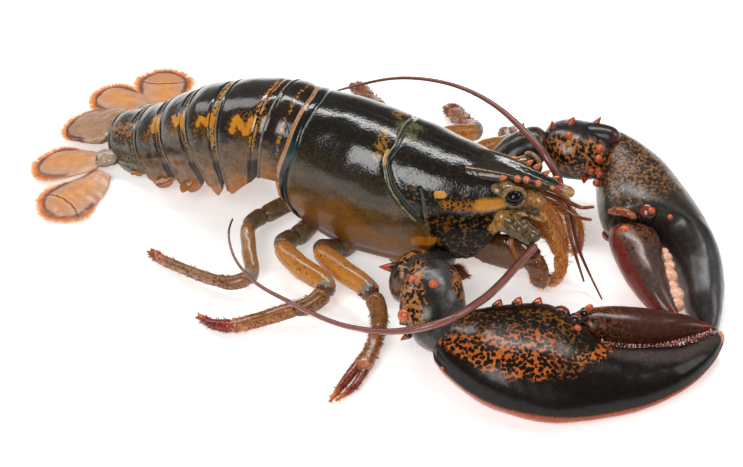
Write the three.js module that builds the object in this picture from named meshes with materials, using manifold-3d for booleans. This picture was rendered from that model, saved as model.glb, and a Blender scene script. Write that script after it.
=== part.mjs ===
// Whole raw lobster lying at rest, back up, both claws forward.
// Millimetres. +X runs to the head, +Y to the animal's left, +Z up, and the table is z = 0.
import * as THREE from "three";
import { mergeVertices } from "three/addons/utils/BufferGeometryUtils.js";
import Module from "manifold-3d";

const wasm = await Module();
wasm.setup();

// Fit between neighbouring pieces, and how far the modelling frame sits from the box middle
const gap = 0.35;
const originShift = [-35.1, 4.3, 0];

// Carapace: keys are [x, value] along the body, or [share of the way down the side, value]
const carapaceHalf = [
  [-8, 24], [8, 27], [32, 29.5], [55, 29], [75, 26], [90, 21.5], [100, 17], [107, 12.5], [113, 8],
];
const carapaceTop = [
  [-8, 71], [6, 73.5], [28, 72.7], [48, 69.5], [66, 66], [84, 62.3], [98, 59.8], [113, 57.5],
];
const carapaceLow = [
  [-8, 24], [6, 16.5], [20, 11], [34, 8], [50, 7.8], [66, 9.5], [80, 14], [92, 17], [100, 22],
  [107, 29], [113, 38],
];
const carapaceRear = [[0, 3], [0.4, 0], [0.75, -5], [0.9, -4.5], [1, 2]];
const carapaceFront = [
  [0, 111], [0.14, 108], [0.27, 102], [0.4, 106.5], [0.6, 106], [0.75, 103], [0.9, 96], [1, 90],
];
// Recess underneath for the breast plate, the share of the way down at which the side turns under,
// how far it then draws in, the height share of the widest line, and the roundness of the back
const recessDepth = 7;
const recessShare = 0.6;
const turnShare = 0.68;
const drawIn = 0.2;
const widestShare = 0.42;
const roundness = 0.92;
const breastDepth = 6.5;
const breastStations = [0, 18, 36, 54, 72, 86, 95];

// Rostrum rows: x, y, z, half width, half height
const rostrumRows = [
  [80, 0, 58, 11, 3.5], [97, 0, 59, 9, 3.5], [110, 0, 58, 6, 3], [121, 0, 57, 3.6, 2.4],
  [132, 0, 54.8, 2, 2.2],
];
const rostrumSpines = [[104, 6.5, 60], [111, 5, 59], [118, 3.6, 58.2], [124, 2.6, 57.6]];

// Abdomen rings, front to rear.
// Row: x, y, z of the top, tilt, yaw, half width, arch height, side flap length
const rings = [
  [8, 0, 70.5, -2, 0, 23, 28, 5],
  [-11, 0.5, 74, -2, 4, 25.4, 28, 9],
  [-41, 2, 64.5, 14, 0, 25.5, 27, 17],
  [-61.5, 4, 53.5, 29, -1, 24.3, 25, 17],
  [-78.5, 7, 40.7, 28, -3, 22.3, 22, 15],
  [-94.5, 10, 28.9, 27, -1, 19.8, 18, 12],
  [-112.5, 12.5, 18.2, 28, -2, 15.7, 12, 6],
];
const flapShapes = [
  [[0, 0.5], [0.5, 0.9], [1, 0.8]],
  [[0, 0.72], [0.2, 0.96], [0.8, 1], [1, 0.8]],
  [[0, 0.5], [0.45, 0.86], [0.8, 1], [1, 0.62]],
  [[0, 0.45], [0.45, 0.86], [0.8, 1], [1, 0.6]],
  [[0, 0.4], [0.45, 0.86], [0.8, 1], [1, 0.6]],
  [[0, 0.3], [0.45, 0.9], [0.8, 1], [1, 0.5]],
];
// Step of each ring's front edge under the ring before it, where the arch ends and the flap begins,
// and how much of the half width the inside of the ring keeps
const ringTuck = 1.3;
const archShare = 0.7;
const innerShare = 0.86;
const jointSlack = 0.012;

// Tail fan rows: x, y, z, half width, half thickness; the fan is symmetrical about fanMiddle
const fanMiddle = 15;
const telsonRows = [
  [-111, 14, 12, 14, 2.8], [-119, 14.5, 10.5, 16, 2.4], [-129, 15, 7.8, 14.5, 1.8],
  [-137, 15, 5.8, 12.5, 1.4], [-142, 15, 4.8, 9, 1.1],
];
const footRows = [[-103, 18, 9, 4.5, 3.6], [-109, 21, 7.6, 6, 3.4], [-114, 23.5, 6.6, 5.5, 2.4]];
const innerBladeRows = [
  [-112, 22, 6.2, 6, 1.4], [-119, 25.5, 5.4, 9.5, 1.2], [-128, 28.5, 4.2, 12, 1],
  [-137, 31, 3, 12, 0.9], [-142.5, 31.5, 2.4, 7.5, 0.7],
];
const outerBladeRows = [
  [-107, 28, 4.4, 5, 1.3], [-108, 37, 3, 9, 1.1], [-112, 48, 2, 13, 0.9],
  [-116, 58, 1.5, 14.5, 0.8], [-118.5, 65, 1.3, 10, 0.7],
];

// Legs. Row: x, y, z, half width, half height; the last rows run out to the tip
const legRows = {
  leg2_right: [
    [50, -9, 6, 4.2, 4.2], [54, -18, 5.5, 4, 4], [62, -23, 4.6, 3.2, 3.2], [72, -20, 4.2, 3, 3],
    [81, -16, 3.4, 2.4, 2.4], [88, -13.5, 2, 1.2, 1.4],
  ],
  leg3_right: [
    [32, -11, 7, 4.5, 4.5], [29, -24, 7.5, 4.6, 4.8], [23.5, -37.5, 15.5, 4.6, 4.6],
    [38.5, -49, 17.5, 4.8, 5.4], [56.5, -58, 17, 4.4, 5], [63.5, -65, 13, 4.2, 4.6],
    [67, -78, 8, 3.4, 3.8], [67.5, -93, 6, 3.8, 3.6], [67.5, -104, 4.2, 3.8, 3],
    [66, -115, 2.4, 1.8, 1.6],
  ],
  leg4_right: [
    [9, -11, 9, 4.5, 4.5], [7, -25, 10, 4.8, 5], [4.5, -40.5, 14.5, 4.5, 4.5],
    [17.5, -51.5, 15.5, 4.9, 5.4], [35.5, -61, 14, 4.4, 4.8], [31, -69, 10, 3.8, 4.2],
    [23, -74, 8, 3.4, 3.8], [11, -83, 5.6, 3.4, 3.4], [0, -90, 4.2, 3.2, 3],
    [-9, -90.5, 2.8, 2.4, 2.2], [-18, -87.5, 1.8, 1, 1.2],
  ],
  leg5_right: [
    [-3, -10, 16, 4.2, 4.2], [-10, -21, 15.5, 4.4, 4.4], [-15, -35, 16.5, 3.7, 3.8],
    [-9, -49, 14, 3.6, 4], [-3, -62, 10, 3.5, 3.8], [-10, -67, 8, 3.2, 3.4],
    [-18, -67, 6.8, 2.8, 3], [-35, -64, 5, 2.5, 2.7], [-51, -60, 3.6, 2.3, 2.4],
    [-59, -56, 2, 0.9, 1.1],
  ],
  leg2_left: [
    [56, 11, 8, 4.5, 4.5], [60, 24, 10, 4.8, 4.8], [64, 38, 20, 4, 4.4], [72, 53, 24, 3.8, 4.4],
    [79, 66, 20, 3.6, 4], [76, 80, 11, 3.2, 3.4], [72, 92, 4.5, 2.8, 3], [70, 101, 2, 1.2, 1.4],
  ],
  leg3_left: [
    [32, 11, 7, 4.5, 4.5], [34, 26, 9.5, 4.8, 5], [38, 42, 19, 4.2, 4.4], [50, 58, 22, 4, 4.8],
    [61, 72, 18, 3.8, 4.4], [53, 84, 11, 4.4, 4], [43, 96, 6, 4.4, 3.4], [34, 106, 3, 1.4, 1.6],
  ],
  leg4_left: [
    [9, 11, 9, 4.5, 4.5], [8, 27, 12, 4.8, 5], [8, 44, 19, 4.2, 4.2], [12, 62, 20, 4, 4.6],
    [8, 76, 14, 3.8, 4.2], [-4, 90, 7.5, 3.4, 3.6], [-13, 99, 5, 3.8, 3.2],
    [-19, 104, 3, 1.8, 1.6],
  ],
  leg5_left: [
    [-3, 10, 16, 4.2, 4.2], [-8, 22, 16, 4.4, 4.4], [-10, 36, 18, 3.7, 3.8],
    [-2, 50, 15, 3.5, 3.8], [-10, 60, 10, 3.1, 3.4], [-24, 65, 6, 2.6, 2.8],
    [-36, 67, 3.6, 2.2, 2.4], [-45, 66, 2, 0.9, 1.1],
  ],
};

// Claw arms. Row: x, y, z, half width, half height
const armRows = {
  merus_right: [
    [78, -12, 14, 6, 6], [77, -22, 15, 6.5, 6.5], [73, -34, 19, 7.5, 8.5], [71, -45, 23, 8, 10.5],
    [71.5, -54, 24.5, 8.5, 12], [75, -59, 24.5, 7, 8.5],
  ],
  carpus_right: [
    [80, -50, 29, 8, 8], [84, -56.5, 27.5, 11.5, 11.5], [87.5, -63, 25, 13.2, 13.2],
    [90, -69.5, 18.5, 14.5, 12.5], [88.8, -75, 10.5, 10.5, 8.5],
  ],
  merus_left: [
    [76, 12, 14, 6, 6], [77, 24, 18, 6.5, 6.5], [84, 36, 26, 8, 8.5], [93, 45, 33, 9.5, 10.5],
    [101, 50, 36, 9.5, 11], [106, 52, 36, 6.5, 8],
  ],
  carpus_left: [
    [102, 49.5, 34, 8, 9], [108, 52, 35, 13, 12.5], [117, 56, 35, 15.5, 13.5],
    [127, 61, 33, 14.5, 12.5], [135, 65.5, 31, 10, 9],
  ],
};

// Spines of the arms. Row: foot x, y, z, direction x, y, z, radius, height
const armSpines = {
  merus_right: [[65.5, -50, 28.7, -1, 0, -0.25, 2.8, 8.5]],
  carpus_right: [
    [78.5, -60, 34.4, -0.3, -0.1, 1, 2.2, 3], [88, -62, 36.4, 0, 0, 1, 2.6, 3.2],
    [79.5, -68, 21, -1, -0.4, 0.1, 2.6, 4.5], [81, -73, 12.5, -0.7, -0.5, -0.6, 2, 4.5],
  ],
  merus_left: [[93.5, 46, 43, -0.1, 0.3, 1, 2.6, 6.5]],
  carpus_left: [
    [106, 54, 43, -0.3, 0.2, 1, 2.2, 5], [113, 60, 44, 0.1, 0.4, 1, 2.2, 4.5],
    [123, 66, 42, 0.5, 0.5, 1, 2.2, 6], [116, 50, 46, 0, -0.3, 1, 2.8, 3.6],
    [125, 46.5, 34, -0.5, -0.8, 0.1, 2.4, 5],
  ],
};

// Claws, each in its own flat frame: base point, direction to the tip and roll.
// Row: outer edge x and y, inner edge x and y, half thickness
const claws = {
  right: {
    base: [92, -74, 17.5],
    tip: [214, -17, 11.5],
    roll: 12,
    palm: [
      [0, -12, 1, 0, 6], [5, -19.5, 8, 6.5, 10.5], [14, -29, 19, 10.5, 13.5],
      [27, -37.5, 31, 13.5, 15.5], [42, -43, 44, 14.5, 16], [56, -45, 55, 13.5, 15.5],
      [66, -44.5, 62, 9.5, 14.5], [74, -43.2, 67, 3, 13.5], [82, -41.5, 73, -5, 12.5],
      [92, -38.5, 84, -9, 11], [104, -32.5, 98, -9, 9.2], [116, -24.5, 111, -7, 7.2],
      [125, -16, 121, -3.5, 5.2], [130.5, -7.5, 128, -0.5, 3.4], [133, -1, 131.5, 2, 1.5],
    ],
    finger: [
      [62, 8.5, 67, -1, 4.5], [68, 11.5, 73, -3.5, 8], [78, 13, 82, -5.5, 8.8],
      [90, 13, 93, -6.5, 8.4], [102, 12, 103, -6, 7.4], [113, 9.6, 112, -4, 6],
      [122, 6.4, 120, -1.6, 4.4], [128, 3.2, 127, 0.8, 2.6], [130.5, 2.4, 130, 1.6, 1],
    ],
    spines: [[30, 10.6, 6], [39, 11.8, 6], [48, 11.6, 6], [60, 8.4, 6.5]],
    spineSize: [2.4, 5.6],
    palmTeeth: [
      [80, -8.2], [86, -8.9], [92, -9], [98, -8.9], [104, -8.2], [110, -7], [116, -5.2], [122, -3],
    ],
    fingerTeeth: [],
    toothSize: [1.1, 2.4],
  },
  left: {
    base: [129, 70, 31],
    tip: [206.3, -9.5, 7],
    roll: -12,
    palm: [
      [-5, 1, -4, -6, 8], [3, 9, 6, -9.5, 12.5], [14, 16, 18, -14, 15.5],
      [28, 21.5, 30, -19, 17.5], [42, 24, 41, -23, 18], [54, 24.5, 48, -23, 17.5],
      [64, 24, 53, -14, 16.5], [73, 22.5, 60, -3, 15.5], [84, 19.5, 74, 0, 14],
      [96, 14.5, 88, -3, 12], [106, 8, 101, -7.5, 9.5], [112, 4.2, 109, -8.5, 7.5],
      [117.6, -0.6, 115, -9, 5], [120.4, -5.6, 118.8, -8.5, 2.2],
    ],
    finger: [
      [50, -24, 54, -12, 5.5], [57, -27.5, 60, -4, 9], [66, -28.5, 68, -5.5, 10],
      [76, -29, 78, -9, 9.4], [86, -28.5, 87, -12, 8.2], [94, -27, 95, -14, 6.8],
      [101, -24.5, 101.5, -15.2, 5], [106, -21.5, 106.5, -16, 3.4], [109, -19.3, 109, -16.5, 1.4],
    ],
    spines: [[2, -6, 8], [8, -9, 8], [15.5, -12, 8], [23.5, -15, 8]],
    spineSize: [2.4, 4.6],
    palmTeeth: [[78, -2], [87, -4.4]],
    fingerTeeth: [[71, -6.5], [77.5, -8.5], [84, -11], [91, -13]],
    toothSize: [3, 3],
  },
};

// Head parts. Rows as for the legs
const eyeCentre = [108.8, 13.5, 56];
const eyeRadius = 3.9;
const feelerBaseRows = [
  [99, 11.5, 42, 5.5, 6], [108, 13.5, 40, 6, 6.5], [116, 14, 37.5, 5.5, 6],
  [121, 15, 35.5, 4, 4.5],
];
const scaleRows = {
  antenna_scale_right: [
    [113, -6, 50, 2.4, 2], [120.6, -4, 47.5, 3.2, 2.4], [125.6, -4.5, 43, 3.2, 2.6],
    [129, -5, 37, 2.6, 2.2], [132, -5.5, 30, 1.8, 1.6], [133.5, -6, 25.5, 1, 1],
  ],
  antenna_scale_left: [
    [116, 7, 45, 3, 2.2], [125, 6.5, 41, 3.4, 2.6], [130, 7, 37.5, 2.6, 2.4], [133.3, 8, 33, 2, 2],
    [135.4, 8, 27.5, 1.7, 1.7], [136.2, 8, 21.7, 1.7, 1.6], [135.6, 7, 16.5, 1.8, 1.5],
    [133.6, 6, 14.5, 1.2, 1.1],
  ],
};
const jawLegRows = {
  jaw_leg_right: [
    [88, -11, 17.5, 3.4, 4], [97, -12, 20, 4, 8.5], [108, -12.5, 21.5, 4, 9.5],
    [116, -13, 24.5, 4, 6.5], [121, -13.5, 19, 3.8, 5], [123.6, -13.5, 12, 3.5, 4.8],
    [123.6, -13.5, 6, 2.4, 4],
  ],
  jaw_leg_left: [
    [88, 11, 17.5, 3.4, 4], [97, 12, 20, 4, 8.5], [108, 10, 21.5, 4, 8.5], [117, 6, 25, 3.8, 5.4],
    [124, 2, 24, 3.4, 3.6], [129, -1, 18, 3.2, 3.2], [130.6, -3.5, 10, 3, 3],
    [128.5, -5.5, 4.2, 2.4, 2.4], [125.5, -6.5, 1.8, 1.2, 1.2],
  ],
};
const feelerRows = {
  antenna_right: [
    [121.5, -17, 34, 2, 2], [118.5, -31, 34, 1.9, 1.9], [115.5, -51, 36, 1.9, 1.9],
    [112, -69, 40, 1.8, 1.8], [101.5, -89.5, 42, 1.7, 1.7], [85.6, -95.8, 37, 1.5, 1.5],
    [61.8, -94.8, 30, 1.2, 1.2], [28.4, -84.8, 24.5, 1, 1], [3.3, -73.7, 21.5, 0.8, 0.8],
    [-11, -62.3, 23, 0.6, 0.6], [-17.9, -49.4, 27, 0.5, 0.5], [-17.7, -46.4, 29, 0.4, 0.4],
  ],
  antenna_left: [
    [122, 16.5, 37, 2, 2], [121, 17, 46, 1.9, 1.9], [113.5, 20, 55, 1.8, 1.8],
    [96.5, 31.5, 60, 1.5, 1.5], [77.5, 42.2, 62, 1.2, 1.2], [54, 51.1, 60, 1, 1],
    [27.3, 53, 55, 0.8, 0.8], [2.2, 49.4, 45, 0.6, 0.6], [-6, 49.6, 40, 0.4, 0.4],
  ],
};
const antennuleRows = {
  antennule_right: [
    [[118, -1.6, 51, 1.6, 1.6], [126.5, -1.6, 49.2, 1.5, 1.5], [131, -2, 46.6, 1.4, 1.4]],
    [[130, -2, 46.8, 1.1, 1.1], [136.4, -3.4, 45, 0.9, 0.9], [143.6, -5, 46.7, 0.7, 0.7]],
    [[130, -2, 46.2, 1.1, 1.1], [135.5, -5.6, 31, 0.9, 0.9], [143.3, -7, 10.1, 0.5, 0.5]],
  ],
  antennule_left: [
    [[118, 2.6, 51, 1.6, 1.6], [126.5, 2.6, 49.2, 1.5, 1.5], [131, 3, 46.6, 1.4, 1.4]],
    [[130, 3, 46.8, 1.1, 1.1], [136, 3.6, 45, 0.9, 0.9], [142, 4, 47, 0.7, 0.7]],
    [[130, 3, 46.2, 1.1, 1.1], [138, 2, 19, 0.8, 0.8], [144.2, 0, 8.9, 0.6, 0.6], [153, -8, 2.9, 0.4, 0.4]],
  ],
};

// Swimmerets: rows for the right side of rings 2 to 5
const swimmeretRows = [
  [[-29, -13, 33, 2.6, 2.6], [-36, -17, 27, 4.5, 1.4], [-43, -20, 21.5, 3.4, 1.2]],
  [[-47, -12, 25.5, 2.6, 2.4], [-53, -17, 19.5, 4.8, 1.4], [-59, -21, 14, 3.6, 1.2]],
  [[-62, -8, 17.5, 2.4, 2.2], [-69, -12, 12.5, 4.6, 1.4], [-76, -15.5, 9, 3.4, 1.1]],
  [[-80, -3, 10, 2.2, 1.8], [-87, -6, 7, 3.6, 1.2], [-94, -8, 5, 2.6, 1]],
];

// The abdomen bends sideways, so each pair is mirrored about its own middle
const swimmeretMiddle = (i) => 3 + 2.5 * i;

// Vector arithmetic on [x, y, z]
const plus = (a, b) => [a[0] + b[0], a[1] + b[1], a[2] + b[2]];
const minus = (a, b) => [a[0] - b[0], a[1] - b[1], a[2] - b[2]];
const times = (a, k) => [a[0] * k, a[1] * k, a[2] * k];
const cross = (a, b) => [a[1] * b[2] - a[2] * b[1], a[2] * b[0] - a[0] * b[2], a[0] * b[1] - a[1] * b[0]];
const size = (a) => Math.hypot(...a);
const unit = (a) => times(a, 1 / size(a));
const radians = (degrees) => (degrees * Math.PI) / 180;
const limited = (v) => Math.min(Math.max(v, 0), 1);
const mirrored = (rows) => rows.map(([x, y, ...rest]) => [x, -y, ...rest]);

// Cubic through two values with given slopes
function hermite(a, b, slopeA, slopeB, span, f) {
  const g = 1 - f;
  return a * g * g * (1 + 2 * f) + b * f * f * (3 - 2 * f) + span * f * g * (g * slopeA - f * slopeB);
}

// Slope at knot j that never lets the curve overshoot
function calmSlope(knots, values, j) {
  const rise = (k) => (values[k + 1] - values[k]) / (knots[k + 1] - knots[k]);
  if (j === 0) return rise(0);
  if (j === knots.length - 1) return rise(j - 1);
  const before = rise(j - 1);
  const after = rise(j);
  return before * after <= 0 ? 0 : (2 * before * after) / (before + after);
}

// Slope at knot j for a round path, the two neighbouring slopes weighted by distance
function roundSlope(knots, values, j) {
  const rise = (k) => (values[k + 1] - values[k]) / (knots[k + 1] - knots[k]);
  if (j === 0) return rise(0);
  if (j === knots.length - 1) return rise(j - 1);
  const before = knots[j] - knots[j - 1];
  const after = knots[j + 1] - knots[j];
  return (rise(j - 1) * after + rise(j) * before) / (before + after);
}

function between(knots, values, u, slopeAt) {
  let i = 0;
  while (i < knots.length - 2 && u > knots[i + 1]) i += 1;
  const span = knots[i + 1] - knots[i];
  const f = limited((u - knots[i]) / span);
  const before = slopeAt(knots, values, i);
  const after = slopeAt(knots, values, i + 1);
  return hermite(values[i], values[i + 1], before, after, span, f);
}

// Smooth value through [position, value] keys
function keyed(keys, u) {
  return between(keys.map((k) => k[0]), keys.map((k) => k[1]), u, calmSlope);
}

// Running length along rows, measured on their first columns, and the row at a length along them
function runOf(rows, columns) {
  const run = [0];
  for (let i = 1; i < rows.length; i += 1) {
    const step = rows[i].slice(0, columns).map((v, k) => v - rows[i - 1][k]);
    run.push(run[i - 1] + Math.hypot(...step));
  }
  return run;
}
function rowAt(rows, run, columns, length) {
  const column = (k) => rows.map((r) => r[k]);
  return rows[0].map((_, k) => between(run, column(k), length, k < columns ? roundSlope : calmSlope));
}

// Closed solid from [x, y, z] points and triangles, turned to face outwards
function solidOf(points, faces) {
  let volume = 0;
  for (const [a, b, c] of faces) {
    const n = cross(points[a], points[b]);
    volume += n[0] * points[c][0] + n[1] * points[c][1] + n[2] * points[c][2];
  }
  const facing = volume < 0 ? faces.map(([a, b, c]) => [a, c, b]) : faces;
  return new wasm.Manifold(new wasm.Mesh({
    numProp: 3,
    vertProperties: new Float32Array(points.flat()),
    triVerts: new Uint32Array(facing.flat()),
  }));
}

// Closed solid through rings of equal count, with a point at each end
function ringSolid(first, loops, last) {
  const count = loops[0].length;
  const points = [first, ...loops.flat(), last];
  const end = points.length - 1;
  const faces = [];
  for (let j = 0; j < count; j += 1) {
    const k = (j + 1) % count;
    faces.push([0, 1 + k, 1 + j]);
    faces.push([end, end - count + j, end - count + k]);
    for (let i = 0; i < loops.length - 1; i += 1) {
      const a = 1 + i * count;
      const b = a + count;
      faces.push([a + j, a + k, b + k], [a + j, b + k, b + j]);
    }
  }
  return solidOf(points, faces);
}

// Closed solid between an outer and an inner sheet over the same (u, v) grid
function sheetSolid(outer, inner, uCount, vCount) {
  const points = [];
  const index = (layer, i, j) => layer * (uCount + 1) * (vCount + 1) + i * (vCount + 1) + j;
  for (const sheet of [outer, inner])
    for (let i = 0; i <= uCount; i += 1)
      for (let j = 0; j <= vCount; j += 1) points.push(sheet(i / uCount, (2 * j) / vCount - 1));
  const faces = [];
  const quad = (a, b, c, d) => faces.push([a, b, c], [a, c, d]);
  for (let i = 0; i < uCount; i += 1) {
    for (let j = 0; j < vCount; j += 1) {
      quad(index(0, i, j), index(0, i + 1, j), index(0, i + 1, j + 1), index(0, i, j + 1));
      quad(index(1, i, j), index(1, i, j + 1), index(1, i + 1, j + 1), index(1, i + 1, j));
    }
    quad(index(0, i + 1, 0), index(0, i, 0), index(1, i, 0), index(1, i + 1, 0));
    quad(index(0, i, vCount), index(0, i + 1, vCount), index(1, i + 1, vCount), index(1, i, vCount));
  }
  for (let j = 0; j < vCount; j += 1) {
    quad(index(0, 0, j), index(0, 0, j + 1), index(1, 0, j + 1), index(1, 0, j));
    quad(index(0, uCount, j + 1), index(0, uCount, j), index(1, uCount, j), index(1, uCount, j + 1));
  }
  return solidOf(points, faces);
}

// One loop of a superellipse: half sizes a and b along the directions side and rise
function sectionLoop(centre, side, rise, a, b, power, sides) {
  const loop = [];
  for (let j = 0; j < sides; j += 1) {
    const angle = (2 * Math.PI * (j + 0.5)) / sides;
    const c = Math.cos(angle);
    const s = Math.sin(angle);
    const across = a * Math.sign(c) * Math.abs(c) ** (2 / power);
    const up = b * Math.sign(s) * Math.abs(s) ** (2 / power);
    loop.push(plus(centre, plus(times(side, across), times(rise, up))));
  }
  return loop;
}

// Lengths along a run with closer steps in the rounded ends, each with its share of full width
function stationsOf(length, rings, startCap, endCap) {
  const angles = [0.5, 1.1];
  const head = angles.map((a) => [startCap * (1 - Math.cos(a)), Math.sin(a)]);
  const tail = angles.map((a) => [length - endCap * (1 - Math.cos(a)), Math.sin(a)]).reverse();
  const middle = [];
  for (let i = 0; i <= rings; i += 1) middle.push([startCap + ((length - startCap - endCap) * i) / rings, 1]);
  return [...head, ...middle, ...tail];
}

// Rounded rod along rows of x, y, z, half width, half height
function tube(rows, { rings = 10, sides = 8, power = 2, up = [0, 0, 1] }, grow) {
  const run = runOf(rows, 3);
  const length = run[run.length - 1];
  const at = (d) => rowAt(rows, run, 3, d);
  const headingAt = (d) => unit(minus(at(Math.min(d + 0.2, length)), at(Math.max(d - 0.2, 0))));
  const startCap = Math.min(Math.min(rows[0][3], rows[0][4]), length / 3);
  const endRow = rows[rows.length - 1];
  const endCap = Math.min(Math.min(endRow[3], endRow[4]) * 1.2, length / 3);
  const loops = stationsOf(length, rings, startCap, endCap).map(([d, share]) => {
    const row = at(d);
    const side = unit(cross(headingAt(d), up));
    const rise = unit(cross(side, headingAt(d)));
    const shift = d < startCap ? -grow : d > length - endCap ? grow : 0;
    const centre = plus(row, times(headingAt(d), shift));
    return sectionLoop(centre, side, rise, row[3] * share + grow, row[4] * share + grow, power, sides);
  });
  const first = plus(at(0), times(headingAt(0), -grow));
  const last = plus(at(length), times(headingAt(length), grow));
  return ringSolid(first, loops, last);
}

// Pointed cone sunk a little into what it grows from
function spine(foot, direction, radius, height) {
  const rise = unit(direction);
  const side = unit(cross(rise, Math.abs(rise[2]) < 0.8 ? [0, 0, 1] : [1, 0, 0]));
  const front = cross(side, rise);
  const low = plus(foot, times(rise, -radius));
  return ringSolid(low, [sectionLoop(foot, side, front, radius, radius, 2, 4)], plus(foot, times(rise, height)));
}

function fused(solids) {
  return solids.reduce((whole, next) => whole.add(next));
}

// Point on the carapace: u runs rear to front, v from the right edge over the back to the left edge
function carapacePoint(u, v, grow) {
  const side = Math.abs(v);
  const x = keyed(carapaceRear, side) + (keyed(carapaceFront, side) - keyed(carapaceRear, side)) * u;
  const half = keyed(carapaceHalf, x) + grow;
  const top = keyed(carapaceTop, x) + grow;
  const low = keyed(carapaceLow, x) - grow;
  const middle = low + widestShare * (top - low);
  const angle = (Math.PI / 2) * (1 - Math.min(side / turnShare, 1));
  const under = limited((side - turnShare) / (1 - turnShare));
  const across = half * Math.cos(angle) ** roundness * (1 - drawIn * under ** 2.2);
  const z = middle + (top - middle) * Math.sin(angle) ** roundness - (middle - low) * under;
  const reach = grow * (2 * u - 1);
  return [x + reach, Math.sign(v) * across, z];
}

// Solid carapace with a shallow recess underneath; grown, it closes the lip of that recess
function carapaceSolid(grow) {
  const inner = (u, v) => {
    const [x] = carapacePoint(u, v, grow);
    const across = v * (recessShare * keyed(carapaceHalf, x) - 1.5 * grow);
    const rise = grow > 0 && Math.abs(v) === 1 ? 0 : recessDepth;
    return [x, across, keyed(carapaceLow, x) + rise - grow];
  };
  return sheetSolid((u, v) => carapacePoint(u, v, grow), inner, 14, 14);
}

function rostrumSolid(grow) {
  const blade = tube(rostrumRows, { rings: 6, sides: 8, power: 2.4 }, grow);
  const spines = rostrumSpines.flatMap(([x, y, z]) =>
    [1, -1].map((s) => spine([x, s * y, z], [1, s * 0.5, 0.45], 1.3 + grow, 4 + grow)));
  return fused([blade, ...spines]);
}

// Breast plate and leg roots, sitting up inside the carapace recess
function thoraxSolid(grow) {
  const clearance = 1.3;
  const rows = breastStations.map((x) => {
    const half = keyed(carapaceHalf, x) * recessShare - clearance;
    return [x, 0, keyed(carapaceLow, x) + recessDepth - clearance - breastDepth, half, breastDepth];
  });
  return tube(rows, { rings: 9, sides: 9, power: 2.8 }, grow);
}

// Frame of the abdomen at ring position p, where whole numbers are the ring edges
function ringFrame(p) {
  const knots = rings.map((_, i) => i);
  const [x, y, z, tilt, yaw, half, arch, flap] = rings[0].map((_, k) =>
    between(knots, rings.map((r) => r[k]), p, roundSlope));
  const t = radians(tilt);
  const w = radians(yaw);
  return {
    top: [x, y, z],
    down: [Math.sin(t) * Math.cos(w), -Math.sin(t) * Math.sin(w), -Math.cos(t)],
    side: [Math.sin(w), Math.cos(w), 0],
    half,
    arch,
    flap,
  };
}

// Point on ring k: s runs front to rear, v from the right flap over the back to the left flap
function ringPoint(k, s, v, inward) {
  const frame = ringFrame(k + s);
  const share = Math.abs(v);
  const tuck = ringTuck * (1 - limited(s / 0.3)) ** 2 + inward;
  const angle = (Math.PI / 2) * (1 - Math.min(share / archShare, 1));
  const low = limited((share - archShare) / (1 - archShare));
  const flap = frame.flap * keyed(flapShapes[k], s);
  const across = (frame.half - tuck) * Math.cos(angle) ** roundness * (1 + 0.05 * low) - 0.4 * inward * low;
  const drop = tuck + (frame.arch - tuck) * (1 - Math.sin(angle) ** roundness) + flap * low;
  return plus(frame.top, plus(times(frame.side, Math.sign(v) * across), times(frame.down, drop)));
}

function ringInner(k, s, v, grow) {
  const frame = ringFrame(k + s);
  const share = Math.abs(v);
  const under = limited(share / archShare);
  const low = limited((share - archShare) / (1 - archShare));
  const flap = frame.flap * keyed(flapShapes[k], s);
  const across = Math.sign(v) * (frame.half - ringTuck) * (innerShare * under + 0.1 * low);
  const drop = frame.arch * (1.12 - 0.06 * under ** 2) + (flap - frame.arch * 0.06) * low + grow;
  return plus(frame.top, plus(times(frame.side, across), times(frame.down, drop)));
}

// One ring of the abdomen, closed across underneath; grown, it cuts what lies against it
function ringSolidOf(k, grow) {
  const edge = grow > 0 ? -jointSlack : jointSlack;
  const along = (u) => edge + u * (1 - 2 * edge);
  const outer = (u, v) => ringPoint(k, along(u), v, -grow);
  const inner = (u, v) => ringInner(k, along(u), v, grow);
  return sheetSolid(outer, inner, 5, 12);
}

// Flat frame of a claw as a function from local x, y, z to the whole animal
function clawFrame(claw) {
  const x = unit(minus(claw.tip, claw.base));
  const flat = unit(cross([0, 0, 1], x));
  const roll = radians(claw.roll);
  const y = plus(times(flat, Math.cos(roll)), times(cross(x, flat), Math.sin(roll)));
  const z = cross(x, y);
  return (p) => plus(claw.base, plus(times(x, p[0]), plus(times(y, p[1]), times(z, p[2]))));
}

// Solid between two edge curves lying in the claw's flat frame
function edgeLoft(claw, rows, { rings, sides, power }, grow) {
  const place = clawFrame(claw);
  const run = runOf(rows, 4);
  const length = run[run.length - 1];
  const at = (d) => rowAt(rows, run, 4, d);
  const caps = 3;
  const loops = stationsOf(length, rings, caps, caps).map(([d, share]) => {
    const [ax, ay, bx, by, thick] = at(d);
    const across = unit([ax - bx, ay - by, 0]);
    const half = (Math.hypot(ax - bx, ay - by) / 2) * share + grow;
    const shift = d < caps ? -grow : d > length - caps ? grow : 0;
    const centre = [(ax + bx) / 2 + shift, (ay + by) / 2, 0];
    return sectionLoop(centre, across, [0, 0, 1], half, thick * share + grow, power, sides).map(place);
  });
  const middle = (row, shift) => place([(row[0] + row[2]) / 2 + shift, (row[1] + row[3]) / 2, 0]);
  return ringSolid(middle(at(0), -grow), loops, middle(at(length), grow));
}

function palmSolid(claw, grow) {
  return edgeLoft(claw, claw.palm, { rings: 12, sides: 11, power: 2.1 }, grow);
}
function fingerSolid(claw, grow) {
  return edgeLoft(claw, claw.finger, { rings: 8, sides: 8, power: 2.2 }, grow);
}

// Teeth at [x, y] of the claw's flat frame, pointing along or against its y
function teethOf(claw, spots, sign) {
  const place = clawFrame(claw);
  const direction = minus(place([0.15, sign, 0.25]), place([0, 0, 0]));
  return spots.map(([x, y]) => spine(place([x, y, 1]), direction, ...claw.toothSize));
}

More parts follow.
